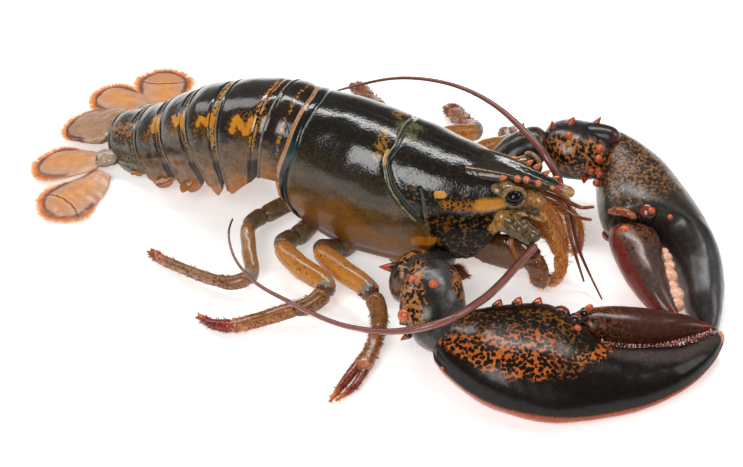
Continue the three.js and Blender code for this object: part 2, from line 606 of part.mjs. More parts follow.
// Spines along the inner edge of the palm
function spinesOf(claw, sign, grow) {
  const place = clawFrame(claw);
  const direction = minus(place([0.35, sign, 0.5]), place([0, 0, 0]));
  const [radius, height] = claw.spineSize;
  return claw.spines.map(([x, y, z]) => spine(place([x, y, z]), direction, radius + grow, height + grow));
}

// Spines on an arm piece. Row: foot x, y, z, direction x, y, z, radius, height
function armSpinesOf(name) {
  return armSpines[name].map((r) => spine(r.slice(0, 3), r.slice(3, 6), r[6], r[7]));
}

// Register of finished pieces
const group = new THREE.Group();
group.name = "lobster";
group.position.set(...originShift);

const tableSide = 800;
const tableDepth = 60;
const floorBox = new THREE.BoxGeometry(tableSide, tableSide, tableDepth);
floorBox.translate(0, 0, -tableDepth / 2);

// Manifold solid of a three.js geometry
function solidFrom(geometry) {
  geometry.deleteAttribute("normal");
  geometry.deleteAttribute("uv");
  const merged = mergeVertices(geometry);
  return new wasm.Manifold(new wasm.Mesh({
    numProp: 3,
    vertProperties: new Float32Array(merged.attributes.position.array),
    triVerts: new Uint32Array(merged.index.array),
  }));
}
const floorSolid = solidFrom(floorBox);

const colours = {
  shell_dark: 0x2b2622,
  shell_olive: 0x4a3d2a,
  claw_dark: 0x2c211c,
  leg_amber: 0x8a5a2c,
  fan_tan: 0xa9754c,
  feeler_red: 0x6f423a,
  eye_black: 0x0d0c0c,
  soft_tan: 0x9c6b3e,
};

function largestBody(solid) {
  const bodies = solid.decompose();
  return bodies.reduce((best, body) => (body.volume() > best.volume() ? body : best));
}

function addPiece(name, slot, solid, cutters = []) {
  const cut = cutters.reduce((rest, cutter) => rest.subtract(cutter), solid);
  const rested = largestBody(cut.subtract(floorSolid));
  const mesh = rested.getMesh();
  const geometry = new THREE.BufferGeometry();
  geometry.setAttribute("position", new THREE.BufferAttribute(new Float32Array(mesh.vertProperties), 3));
  geometry.setIndex(new THREE.BufferAttribute(new Uint32Array(mesh.triVerts), 1));
  const material = new THREE.MeshStandardMaterial({ color: colours[slot], roughness: 0.35 });
  material.name = slot;
  const piece = new THREE.Mesh(geometry, material);
  piece.name = name;
  group.add(piece);
}

// Head, back and breast
const eyeSolid = (sign, grow) => tube(
  [[eyeCentre[0] - 7, sign * (eyeCentre[1] - 6), eyeCentre[2] - 1, 2.4, 2.4],
    [eyeCentre[0] - 3, sign * (eyeCentre[1] - 2.5), eyeCentre[2], 2.6, 2.6],
    [eyeCentre[0] - 0.5, sign * eyeCentre[1], eyeCentre[2], eyeRadius, eyeRadius],
    [eyeCentre[0] + 2, sign * (eyeCentre[1] + 1.6), eyeCentre[2], 2.6, 2.6]],
  { rings: 4, sides: 6 }, grow);
const sides = [["right", -1], ["left", 1]];
const eyeCutters = sides.map(([, sign]) => eyeSolid(sign, gap));
const headShell = (grow) => fused([carapaceSolid(grow), rostrumSolid(grow)]);
addPiece("carapace", "shell_dark", headShell(0), eyeCutters);
const carapaceCutter = headShell(2 * gap);
const thoraxCutter = thoraxSolid(gap);
addPiece("thorax_underside", "soft_tan", thoraxSolid(0));

for (const [label, sign] of sides) {
  const flip = (rows) => (sign < 0 ? mirrored(rows) : rows);
  const others = [carapaceCutter, thoraxCutter];
  addPiece("eye_" + label, "eye_black", eyeSolid(sign, 0));
  const base = (grow) => tube(flip(feelerBaseRows), { rings: 4, sides: 7 }, grow);
  const jawRows = jawLegRows["jaw_leg_" + label];
  const jaw = (grow) => tube(jawRows, { rings: 9, sides: 6, power: 2.3, up: [0.3, 0, 1] }, grow);
  const feeler = (grow) => tube(feelerRows["antenna_" + label], { rings: 20, sides: 4 }, grow);
  const scaleShape = scaleRows["antenna_scale_" + label];
  const scale = (grow) => tube(scaleShape, { rings: 8, sides: 6, up: [0.4, 0, 1] }, grow);
  addPiece("antenna_base_" + label, "shell_olive", base(0), [...others, jaw(gap), feeler(gap)]);
  addPiece("antenna_" + label, "feeler_red", feeler(0));
  addPiece("antenna_scale_" + label, "soft_tan", scale(0), [...others, base(gap), feeler(gap)]);
  addPiece("jaw_leg_" + label, "soft_tan", jaw(0), others);
  const rods = antennuleRows["antennule_" + label];
  const antennule = fused(rods.map((rows, i) => tube(rows, { rings: i ? 3 : 1, sides: 4 }, 0)));
  addPiece("antennule_" + label, "feeler_red", antennule, [carapaceCutter, scale(gap)]);
}

// Abdomen, tail fan and swimmerets
for (let k = 0; k < 6; k += 1) {
  const cutters = k === 0 ? [carapaceCutter, thoraxCutter] : [];
  addPiece("tail_ring_" + (k + 1), "shell_dark", ringSolidOf(k, 0), cutters);
}
const ringCutters = flapShapes.map((_, k) => ringSolidOf(k, gap));
const lastRing = ringCutters[5];
const telson = (grow) => tube(telsonRows, { rings: 6, sides: 8, power: 2.3 }, grow);
addPiece("telson", "fan_tan", telson(0), [lastRing]);
for (const [label, sign] of sides) {
  const turn = (rows) => rows.map(([x, y, ...rest]) => [x, fanMiddle + sign * y, ...rest]);
  const foot = (grow) => tube(turn(footRows), { rings: 4, sides: 8 }, grow);
  const innerBlade = (grow) => tube(turn(innerBladeRows), { rings: 6, sides: 8, power: 2.3 }, grow);
  const outerBlade = (grow) => tube(turn(outerBladeRows), { rings: 6, sides: 8, power: 2.3 }, grow);
  addPiece("fan_foot_" + label, "shell_olive", foot(0), [lastRing, telson(gap)]);
  addPiece("fan_inner_" + label, "fan_tan", innerBlade(0), [lastRing, telson(gap), foot(gap)]);
  addPiece("fan_outer_" + label, "fan_tan", outerBlade(0), [lastRing, foot(gap), innerBlade(gap)]);
  swimmeretRows.forEach((rows, i) => {
    const placed = sign < 0 ? rows : rows.map(([x, y, ...rest]) => [x, 2 * swimmeretMiddle(i) - y, ...rest]);
    const blade = tube(placed, { rings: 3, sides: 5 }, 0);
    addPiece("swimmeret_" + (i + 2) + "_" + label, "soft_tan", blade, ringCutters.slice(i + 1, i + 4));
  });
}

// Walking legs
for (const [name, rows] of Object.entries(legRows)) {
  const leg = tube(rows, { rings: 14, sides: 6, power: 2.2 }, 0);
  addPiece(name, "leg_amber", leg, [carapaceCutter, thoraxCutter]);
}

// Claw arms and claws; the left claw's tip lies behind the right one and keeps clear of it
const rightClaw = [palmSolid(claws.right, gap), fingerSolid(claws.right, gap)];
for (const [label, sign] of sides) {
  const claw = claws[label];
  const merus = (grow) => tube(armRows["merus_" + label], { rings: 6, sides: 8 }, grow);
  const carpus = (grow) => tube(armRows["carpus_" + label], { rings: 5, sides: 9 }, grow);
  const palmCutter = fused([palmSolid(claw, gap), ...spinesOf(claw, -sign, gap)]);
  const fingerCutter = fingerSolid(claw, gap);
  const meetings = label === "left" ? rightClaw : [];
  const spiny = (solid, name) => fused([solid, ...armSpinesOf(name)]);
  const merusCutters = [carapaceCutter, thoraxCutter, carpus(gap)];
  addPiece("merus_" + label, "claw_dark", spiny(merus(0), "merus_" + label), merusCutters);
  addPiece("carpus_" + label, "claw_dark", spiny(carpus(0), "carpus_" + label), [palmCutter, carapaceCutter]);
  const palm = [palmSolid(claw, 0), ...teethOf(claw, claw.palmTeeth, -sign), ...spinesOf(claw, -sign, 0)];
  const finger = [fingerSolid(claw, 0), ...teethOf(claw, claw.fingerTeeth, sign)];
  addPiece("palm_" + label, "claw_dark", fused(palm), [fingerCutter, ...meetings]);
  addPiece("finger_" + label, "claw_dark", fused(finger), meetings);
}

export default group;
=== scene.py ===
import math
import bpy
import numpy as np
from mathutils import Matrix, Vector


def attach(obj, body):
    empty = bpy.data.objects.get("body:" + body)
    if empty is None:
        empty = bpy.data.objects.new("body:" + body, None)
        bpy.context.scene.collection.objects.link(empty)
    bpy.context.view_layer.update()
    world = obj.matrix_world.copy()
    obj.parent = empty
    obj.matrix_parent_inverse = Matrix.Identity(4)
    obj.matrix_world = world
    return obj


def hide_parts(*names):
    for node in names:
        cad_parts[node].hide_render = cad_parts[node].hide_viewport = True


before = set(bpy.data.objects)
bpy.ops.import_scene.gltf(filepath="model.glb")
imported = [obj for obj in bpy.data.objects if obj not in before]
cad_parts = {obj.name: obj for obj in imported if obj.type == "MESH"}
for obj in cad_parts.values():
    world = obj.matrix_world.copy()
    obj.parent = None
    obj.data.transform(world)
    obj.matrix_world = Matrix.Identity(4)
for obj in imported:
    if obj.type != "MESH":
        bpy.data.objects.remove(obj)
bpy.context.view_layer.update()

print("frame loaded,", len(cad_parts), "nodes")

# Rows and keys are in millimetres with the head towards +X, the animal's left at +Y and the
# table at z = 0. A finished mesh is moved by originShift and turned to metres.
mm = 0.001
tableClearance = 0.02
originShift = np.array([-35.1, 4.3, 0.0])
sides = {"right": -1, "left": 1}


# Camera at the photo's angle, white table and soft studio light

view = {
    "place": (0.2556, -0.6320, 0.5953),
    "azimuth": 22,
    "elevation": 41,
    "lens": 90,
}
studio = {
    # brightness of the white walls low down and of the dim ceiling, and the heights between
    "walls": 0.35,
    "ceiling": 0.16,
    "wallTop": (0.0, 0.22),
    "tableSide": 8,
    "table": "#f6f5f3",
    # light that comes up through the white table
    "tableGlow": 0.42,
    # direction from the middle of the animal, distance, width, height and watts
    "lamps": {
        "overheadStrip": ((-0.15, 0.37, 0.91), 1.1, 1.1, 0.15, 8.6),
        "frontWindow": ((0.03, -0.75, 0.66), 1.1, 0.40, 0.60, 6.5),
        "rightBox": ((0.78, 0.28, 0.56), 1.2, 0.6, 0.4, 3),
        "rearBox": ((-0.82, 0.20, 0.54), 1.2, 0.6, 0.4, 3),
    },
    "middle": (0.0, 0.0, 0.03),
}


def linear(code):
    # sRGB hex to linear colour
    parts = [int(code[i:i + 2], 16) / 255 for i in (1, 3, 5)]
    return [p / 12.92 if p <= 0.04045 else ((p + 0.055) / 1.055) ** 2.4 for p in parts] + [1]


def addNode(tree, kind, settings=None, links=None):
    # one node with its settings, by property or socket, and its links, by socket; an sRGB hex code
    # in place of a link sets the socket's colour
    node = tree.nodes.new("ShaderNode" + kind)
    for key, value in (settings or {}).items():
        if isinstance(key, str) and hasattr(node, key):
            setattr(node, key, value)
        else:
            node.inputs[key].default_value = value
    for key, source in (links or {}).items():
        if isinstance(source, str):
            node.inputs[key].default_value = linear(source)
        else:
            tree.links.new(source, node.inputs[key])
    return node


def newFinish(name, **sockets):
    # node material with these sockets of its shader set, a gap in a socket's name written as _
    material = bpy.data.materials.new(name)
    material.use_nodes = True
    shader = material.node_tree.nodes["Principled BSDF"]
    for key, value in sockets.items():
        shader.inputs[key.replace("_", " ")].default_value = value
    return material, material.node_tree, shader


def makeCamera():
    azimuth, elevation = math.radians(view["azimuth"]), math.radians(view["elevation"])
    data = bpy.data.cameras.new("camera")
    data.lens, data.sensor_width, data.clip_end = view["lens"], 36, 20
    camera = bpy.data.objects.new("camera", data)
    camera.location = view["place"]
    camera.rotation_euler = (math.pi / 2 - elevation, 0, azimuth)
    bpy.context.scene.collection.objects.link(camera)
    bpy.context.scene.camera = camera


def makeStudio():
    # each lamp is an area light that faces the middle of the animal, its width along the body
    scene = bpy.context.scene
    scene.world = scene.world or bpy.data.worlds.new("world")
    scene.world.use_nodes = True
    tree = scene.world.node_tree
    place = addNode(tree, "TexCoord").outputs["Generated"]
    height = addNode(tree, "SeparateXYZ", {}, {0: place}).outputs["Z"]
    low, high = studio["wallTop"]
    room = addNode(tree, "MapRange", {
        "interpolation_type": "SMOOTHSTEP", "From Min": low, "From Max": high,
        "To Min": studio["walls"], "To Max": studio["ceiling"]}, {"Value": height})
    background = tree.nodes["Background"]
    background.inputs["Color"].default_value = (1, 1, 1, 1)
    tree.links.new(room.outputs["Result"], background.inputs["Strength"])
    scene.view_settings.view_transform = "Standard"
    for name, (direction, distance, width, height, watts) in studio["lamps"].items():
        data = bpy.data.lights.new(name, "AREA")
        data.shape, data.size, data.size_y, data.energy = "RECTANGLE", width, height, watts
        lamp = bpy.data.objects.new(name, data)
        toward = Vector(direction).normalized()
        across = (Vector((1, 0, 0)) - toward * toward.x).normalized()
        lamp.location = Vector(studio["middle"]) + toward * distance
        lamp.rotation_euler = Matrix((across, toward.cross(across), toward)).transposed().to_euler()
        scene.collection.objects.link(lamp)
    half = studio["tableSide"] / 2
    mesh = bpy.data.meshes.new("table_top")
    corners = [(-half, -half, 0), (half, -half, 0), (half, half, 0), (-half, half, 0)]
    mesh.from_pydata(corners, [], [(0, 1, 2, 3)])
    # matt white sheet, lit from below against hard shadows
    sheet = newFinish("lightTable", Base_Color=linear(studio["table"]), Roughness=0.9, Specular_IOR_Level=0.1,
                      Emission_Color=(1, 1, 1, 1), Emission_Strength=studio["tableGlow"])[0]
    mesh.materials.append(sheet)
    tableTop = bpy.data.objects.new("table_top", mesh)
    scene.collection.objects.link(tableTop)


makeCamera()
makeStudio()
print("camera, lamps and table made")


# Curves through knots and shapes worked out as whole arrays

def curveAt(knots, values, at, roundColumns=0):
    # cubic through the knots: round columns weigh the neighbouring rises by distance, the others
    # take their harmonic mean and so never overshoot
    knots, values, at = (np.asarray(a, float) for a in (knots, values, at))
    flat = values.ndim == 1
    values = values[:, None] if flat else values
    step = np.diff(knots)[:, None]
    rise = np.diff(values, axis=0) / step
    before, after = rise[:-1], rise[1:]
    agree = before * after > 0
    calm = np.where(agree, 2 * before * after / np.where(agree, before + after, 1), 0)
    bend = (before * step[1:] + after * step[:-1]) / (step[1:] + step[:-1])
    isRound = np.arange(values.shape[1]) < roundColumns
    slope = np.vstack([rise[:1], np.where(isRound, bend, calm), rise[-1:]])
    i = np.clip(np.searchsorted(knots, at) - 1, 0, len(knots) - 2)
    span = (knots[i + 1] - knots[i])[..., None]
    f = np.clip((at - knots[i])[..., None] / span, 0, 1)
    g = 1 - f
    ends = values[i] * g * g * (1 + 2 * f) + values[i + 1] * f * f * (3 - 2 * f)
    result = ends + span * f * g * (g * slope[i] - f * slope[i + 1])
    return result[..., 0] if flat else result


def keyed(keys, at):
    # curve through (place, value) keys, read at each place
    keys = np.asarray(keys, float)
    return curveAt(keys[:, 0], keys[:, 1], at)


def runOf(rows, columns=3):
    # distance from the first row to each row, step by step
    steps = np.diff(np.asarray(rows, float)[:, :columns], axis=0)
    return np.concatenate([[0], np.cumsum(np.linalg.norm(steps, axis=1))])


def unit(a):
    # each vector divided by its length
    return a / np.maximum(np.linalg.norm(a, axis=-1, keepdims=True), 1e-12)


def smooth(low, high, x):
    # 0 below low, 1 above high, with a soft ramp between
    t = np.clip((x - low) / (high - low), 0, 1)
    return t * t * (3 - 2 * t)


def bump(x, middle, width):
    # soft hill: e to the power of -((x - middle) / width) squared
    return np.exp(-(((x - middle) / width) ** 2))


def seedOf(name):
    # sum of the letters' numbers, the same each run
    return sum(map(ord, name))


def ripple(points, size, seed, waves=20):
    # seeded sum of plane waves about size millimetres long, within about -1 and 1
    rng = np.random.default_rng(seed)
    direction = unit(rng.normal(size=(waves, 3)))
    pace = 2 * math.pi / (size * rng.uniform(0.7, 1.5, waves))
    phase = rng.uniform(0, 2 * math.pi, waves)
    total = np.zeros(points.shape[:-1])
    for way, p, start in zip(direction, pace, phase):
        total += np.sin(points @ way * p + start)
    return total / math.sqrt(waves)


def distanceTo(x, y, line):
    # shortest distance from each point to a chain of straight steps in the same plane
    best = np.full(np.shape(x), np.inf)
    line = np.asarray(line, float)
    for (ax, ay), (bx, by) in zip(line[:-1], line[1:]):
        dx, dy = bx - ax, by - ay
        t = np.clip(((x - ax) * dx + (y - ay) * dy) / (dx * dx + dy * dy), 0, 1)
        best = np.minimum(best, np.hypot(x - ax - t * dx, y - ay - t * dy))
    return best


def blot(x, y, line, radius):
    # soft patch round a chain of steps
    return bump(distanceTo(x, y, line), 0, radius)


def turnsOf(count):
    # equal steps of angle, once round
    return 2 * math.pi * np.arange(count) / count


def superellipse(angle, power):
    # cosine and sine, each with its size raised to the power of 2 / power
    c, s = np.cos(angle), np.sin(angle)
    return np.sign(c) * np.abs(c) ** (2 / power), np.sign(s) * np.abs(s) ** (2 / power)


def stationsOf(length, rings, startCap, endCap, capRings):
    # lengths along a rod, close together in its rounded ends, each with its share of full width
    turn = np.linspace(0.06, math.pi / 2, capRings, endpoint=False)
    middle = np.linspace(startCap, length - endCap, rings)
    tail = (length - endCap * (1 - np.cos(turn)))[::-1]
    along = np.concatenate([startCap * (1 - np.cos(turn)), middle, tail])
    share = np.concatenate([np.sin(turn), np.ones(rings), np.sin(turn)[::-1]])
    return along, share


def roundGrid(values, count):
    # the same value at every point round each station
    return np.repeat(values[:, None], count, 1)


def rodGrid(rows, rings=40, count=24, power=2, up=(0, 0, 1), span=(0, 1), swell=None, caps=6):
    # rod along rows of x, y, z, half width, half height: a superellipse stands across the path at
    # each station, and each end closes in a quarter circle. swell(t) widens it along its length.
    # across and rise are the cosine and sine of the turn round the path
    rows = np.asarray(rows, float)
    run = runOf(rows)
    first, last = span[0] * run[-1], span[1] * run[-1]
    ends = curveAt(run, rows, [first, last], 3)
    startCap = min(ends[0, 3], ends[0, 4], (last - first) / 3)
    endCap = min(1.2 * min(ends[1, 3], ends[1, 4]), (last - first) / 3)
    along, share = stationsOf(last - first, rings, startCap, endCap, caps)
    along = along + first
    row = curveAt(run, rows, along, 3)
    ahead = curveAt(run, rows, np.clip(along + 0.2, 0, run[-1]), 3)
    behind = curveAt(run, rows, np.clip(along - 0.2, 0, run[-1]), 3)
    heading = unit(ahead[:, :3] - behind[:, :3])
    across = unit(np.cross(heading, up))
    rise = np.cross(across, heading)
    t = (along - first) / (last - first)
    wide = share * (1 if swell is None else swell(t))
    angle = turnsOf(count)
    a, b = superellipse(angle, power)
    points = row[:, None, :3] + across[:, None] * (a * (row[:, 3] * wide)[:, None])[..., None]
    points = points + rise[:, None] * (b * (row[:, 4] * wide)[:, None])[..., None]
    return {
        "points": points,
        "t": roundGrid(t, count),
        "along": roundGrid(along, count),
        "across": np.repeat(np.cos(angle)[None], len(t), 0),
        "rise": np.repeat(np.sin(angle)[None], len(t), 0),
        "full": roundGrid(share, count),
    }


def gridNormals(points, wrap=True):
    # cross product of the two directions of a grid, turned away from the middle of each ring
    along = np.gradient(points, axis=0)
    if wrap:
        around = np.roll(points, -1, 1) - np.roll(points, 1, 1)
    else:
        around = np.gradient(points, axis=1)
    normal = unit(np.cross(along, around))
    outward = (normal * (points - points.mean(1, keepdims=True))).sum()
    return normal if outward > 0 else -normal


def rolledEdge(end, forward, size, turn):
    # the rows of a lip: forward by size * sin(turn), inwards by size * (1 - cos(turn))
    inwards = unit(end.mean(1, keepdims=True) - end)
    return [end + forward * size * math.sin(a) + inwards * size * (1 - math.cos(a)) for a in turn]


def grownMarks(marks, columns, before, after, kept):
    # marks of an outer grid over its inner columns, 0 there but for the kept ones, and over its lips
    grown = {}
    for name, value in marks.items():
        wide = np.pad(value, ((0, 0), (0, columns)), mode="edge" if name in kept else "constant")
        grown[name] = np.pad(wide, ((before, after), (0, 0)), mode="edge")
    return grown


def raised(points, height, wrap=True):
    # each point of a grid moved by its height along the normal
    return points + gridNormals(points, wrap) * height[..., None]


# Surfaces: points, four-sided and three-sided faces, and named marks for the materials

def gridQuads(rows, columns, wrap=True):
    # the four corners of every face of a grid whose points are counted row by row
    i, j = np.meshgrid(np.arange(rows - 1), np.arange(columns - (not wrap)), indexing="ij")
    k = (j + 1) % columns
    corners = [i * columns + j, i * columns + k, (i + 1) * columns + k, (i + 1) * columns + j]
    return np.stack(corners, -1).reshape(-1, 4)


def surfaceOf(points, marks=None, wrap=True, poles=True):
    # grid of points as one closed surface, with a point closing each end
    rows, columns = points.shape[:2]
    quads = gridQuads(rows, columns, wrap)
    flat = points.reshape(-1, 3)
    marks = {name: np.broadcast_to(value, points.shape[:2]).reshape(-1)
             for name, value in (marks or {}).items()}
    triangles = np.zeros((0, 3), int)
    if poles:
        a = np.arange(columns)
        b = (a + 1) % columns
        end = (rows - 1) * columns
        first = np.stack([np.full(columns, len(flat)), b, a], -1)
        last = np.stack([np.full(columns, len(flat) + 1), end + a, end + b], -1)
        triangles = np.vstack([first, last])
        flat = np.vstack([flat, points[0].mean(0), points[-1].mean(0)])
        marks = {name: np.append(value, [value[:columns].mean(), value[-columns:].mean()])
                 for name, value in marks.items()}
    corner = flat[np.vstack([quads[:, :3], quads[:, [0, 2, 3]], triangles])]
    volume = np.einsum("ij,ij->", np.cross(corner[:, 0], corner[:, 1]), corner[:, 2])
    if volume < 0:
        quads, triangles = quads[:, ::-1], triangles[:, ::-1]
    return {"points": flat, "quads": quads, "triangles": triangles, "marks": marks}


def joined(surfaces):
    # several surfaces as one; a mark that one of them lacks is 0 there
    names = sorted({name for s in surfaces for name in s["marks"]})
    starts = np.concatenate([[0], np.cumsum([len(s["points"]) for s in surfaces])[:-1]])
    together = {
        "points": np.vstack([s["points"] for s in surfaces]),
        "quads": np.vstack([s["quads"] + n for s, n in zip(surfaces, starts)]),
        "triangles": np.vstack([s["triangles"] + n for s, n in zip(surfaces, starts)]),
    }
    together["marks"] = {
        name: np.concatenate([s["marks"].get(name, np.zeros(len(s["points"]))) for s in surfaces])
        for name in names}
    return together


trianglesMade = {}


def makePiece(name, surface, material, slot, *nodes):
    # mesh in metres from a surface, riding on the one body and standing for its nodes
    mesh = bpy.data.meshes.new(name)
    place = ((surface["points"] + originShift) * mm).astype(np.float32)
    place[:, 2] = np.maximum(place[:, 2], tableClearance * mm)
    quads, triangles = surface["quads"], surface["triangles"]
    corners = np.concatenate([quads.ravel(), triangles.ravel()]).astype(np.int32)
    starts = np.concatenate([4 * np.arange(len(quads)), 4 * len(quads) + 3 * np.arange(len(triangles))])
    mesh.vertices.add(len(place))
    mesh.vertices.foreach_set("co", place.ravel())
    mesh.loops.add(len(corners))
    mesh.loops.foreach_set("vertex_index", corners)
    mesh.polygons.add(len(starts))
    mesh.polygons.foreach_set("loop_start", starts.astype(np.int32))
    mesh.update(calc_edges=True)
    mesh.validate()
    mesh.shade_smooth()
    for mark, values in surface["marks"].items():
        mesh.attributes.new(mark, "FLOAT", "POINT").data.foreach_set("value", values.astype(np.float32))
    mesh.materials.append(material)
    piece = bpy.data.objects.new(name, mesh)
    bpy.context.scene.collection.objects.link(piece)
    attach(piece, "root")
    if nodes:
        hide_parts(*nodes)
    trianglesMade[name] = 2 * len(quads) + len(triangles)


def cones(feet, directions, radii, heights, count=14, rings=9, lean=None, blunt=(1, 0.85)):
    # spines and knobs: each narrows as (1 - t to the first power of blunt) to its second power,
    # leaning over by lean millimetres at its tip; mark tip runs from 0 at the foot to 1 at the point
    feet, directions = np.asarray(feet, float), unit(np.asarray(directions, float))
    radii, heights = np.asarray(radii, float), np.asarray(heights, float)
    lean = np.zeros_like(feet) if lean is None else np.asarray(lean, float)
    side = unit(np.cross(directions, np.where(np.abs(directions[:, 2:]) < 0.8, [0, 0, 1], [1, 0, 0])))
    front = np.cross(side, directions)
    t = np.linspace(0, 1, rings) ** 0.9
    wide = np.concatenate([[0.8], (1 - t[:-1] ** blunt[0]) ** blunt[1], [0.03]])
    level = np.concatenate([[-0.6], t])
    angle = turnsOf(count)
    surfaces = []
    for foot, way, across, ahead, radius, height, over in zip(
            feet, directions, side, front, radii, heights, lean):
        middle = foot + np.outer(np.where(level < 0, level * radius, level * height), way)
        middle = middle + np.outer(np.maximum(level, 0) ** 2, over)
        ring = np.outer(np.cos(angle), across) + np.outer(np.sin(angle), ahead)
        points = middle[:, None] + ring[None] * (wide * radius)[:, None, None]
        surfaces.append(surfaceOf(points, {"tip": roundGrid(np.clip(level, 0, 1), count)}))
    return joined(surfaces)


def hairsOf(roots, directions, lengths, radius):
    # tapered three-sided hairs: root + direction * length * t
    roots, directions = np.asarray(roots, float), unit(np.asarray(directions, float))
    lengths = np.asarray(lengths, float)[:, None]
    side = unit(np.cross(directions, [0.31, 0.52, 0.79]))
    front = np.cross(side, directions)
    level = np.array([0, 0.4, 0.75, 1])
    wide = np.array([1, 0.8, 0.5, 0.08])
    number, around = len(roots), 3
    each = around * len(level)
    middle = roots[:, None] + directions[:, None] * (lengths * level)[..., None]
    angle = turnsOf(around)
    ring = np.cos(angle)[:, None] * side[:, None, None] + np.sin(angle)[:, None] * front[:, None, None]
    points = middle[:, :, None] + ring * (radius * wide)[None, :, None, None]
    first = each * np.arange(number)[:, None, None]
    quads = (first + gridQuads(len(level), around)[None]).reshape(-1, 4)
    ends = np.array([[2, 1, 0], [each - 3, each - 2, each - 1]])
    triangles = (first + ends[None]).reshape(-1, 3)
    strand = np.broadcast_to(level[None, :, None], (number, len(level), around)).reshape(-1)
    return {"points": points.reshape(-1, 3), "quads": quads[:, ::-1], "triangles": triangles[:, ::-1],
            "marks": {"strand": strand}}


def bristlesOf(grid, seed, number, length, span=(0, 1), angles=(0, 0.5, 1), toward=(0, 0, 0), spread=0.3,
               radius=0.1):
    # hairs on a rod's grid: roots at random stations within span, near the given angles in half
    # turns; each points along the surface normal plus toward, with a seeded spread
    rng = np.random.default_rng(seed)
    points = grid["points"]
    rows = np.flatnonzero((grid["t"][:, 0] >= span[0]) & (grid["t"][:, 0] <= span[1]))
    i = rng.choice(rows, number)
    turn = (rng.choice(angles, number) * math.pi + rng.normal(size=number) * 0.22) / (2 * math.pi)
    j = np.round(turn * points.shape[1]).astype(int) % points.shape[1]
    direction = gridNormals(points)[i, j] + np.asarray(toward) + spread * rng.normal(size=(number, 3))
    root = points[i, j] - unit(direction) * 0.2 + rng.normal(size=(number, 3)) * 0.15
    return hairsOf(root, direction, length * rng.uniform(0.5, 1.1, number), radius)


# Finishes

# the part of the cloudy noise that runs from the darker to the lighter colour, the size of the fine
# speckle and the depth of the pits in mm
cloudSpan = (0.36, 0.64)
speckleSize = 0.6
pitDepth = 0.25


def layer(mark, colours, edge=(0.4, 0.6), **settings):
    # one layer of colour: its mark, its darkest and lightest colour, between which values of the
    # mark it sets in, and how its edge breaks up
    return {"mark": mark, "colours": colours, "edge": edge, **settings}


def nudged(tree, base, value, share):
    # base + share * (value - 0.5)
    offset = addNode(tree, "Math", {"operation": "MULTIPLY_ADD", 1: share, 2: -share / 2}, {0: value})
    return addNode(tree, "Math", {"operation": "ADD"}, {0: base, 1: offset.outputs[0]}).outputs[0]


def layerMask(tree, place, fine, paint):
    # a mark on the surface, its edge broken up by noise of a real size and by fine grain, as a soft
    # 0 to 1 mask: mark + ragged * (noise - 0.5) + speckle * (grain - 0.5), between the two edges
    mark = addNode(tree, "Attribute", {"attribute_name": paint["mark"]}).outputs["Fac"]
    noise = addNode(tree, "TexNoise", {
        "Scale": 1 / (paint.get("grain", 2) * mm), "Detail": 3, "Roughness": 0.55}, {"Vector": place})
    mark = nudged(tree, mark, noise.outputs["Fac"], paint.get("ragged", 1))
    mark = nudged(tree, mark, fine, paint.get("speckle", 0.5))
    low, high = paint["edge"]
    mask = addNode(tree, "MapRange", {
        "interpolation_type": "SMOOTHSTEP", "From Min": low, "From Max": high,
        "To Max": paint.get("share", 1)}, {"Value": mark})
    return mask.outputs["Result"]


def spotsMask(tree, place, size, low, high, merge=0):
    # dark spots of a real spacing, 1 inside a spot and 0 between; merge lets slow noise swell them
    # until they run together in places
    warp = addNode(tree, "TexNoise", {"Scale": 1 / (0.9 * size * mm), "Detail": 3}, {"Vector": place})
    push = addNode(tree, "VectorMath", {"operation": "MULTIPLY_ADD", 1: (size * mm,) * 3},
                   {0: warp.outputs["Color"], 2: place})
    cells = addNode(tree, "TexVoronoi", {"Scale": 1 / (size * mm)}, {"Vector": push.outputs[0]})
    slow = addNode(tree, "TexNoise", {"Scale": 1 / (3 * size * mm), "Detail": 3}, {"Vector": place})
    far = nudged(tree, cells.outputs["Distance"], slow.outputs["Fac"], merge)
    mask = addNode(tree, "MapRange", {
        "interpolation_type": "SMOOTHSTEP", "From Min": low, "From Max": high,
        "To Min": 1, "To Max": 0}, {"Value": far})
    return mask.outputs["Result"]


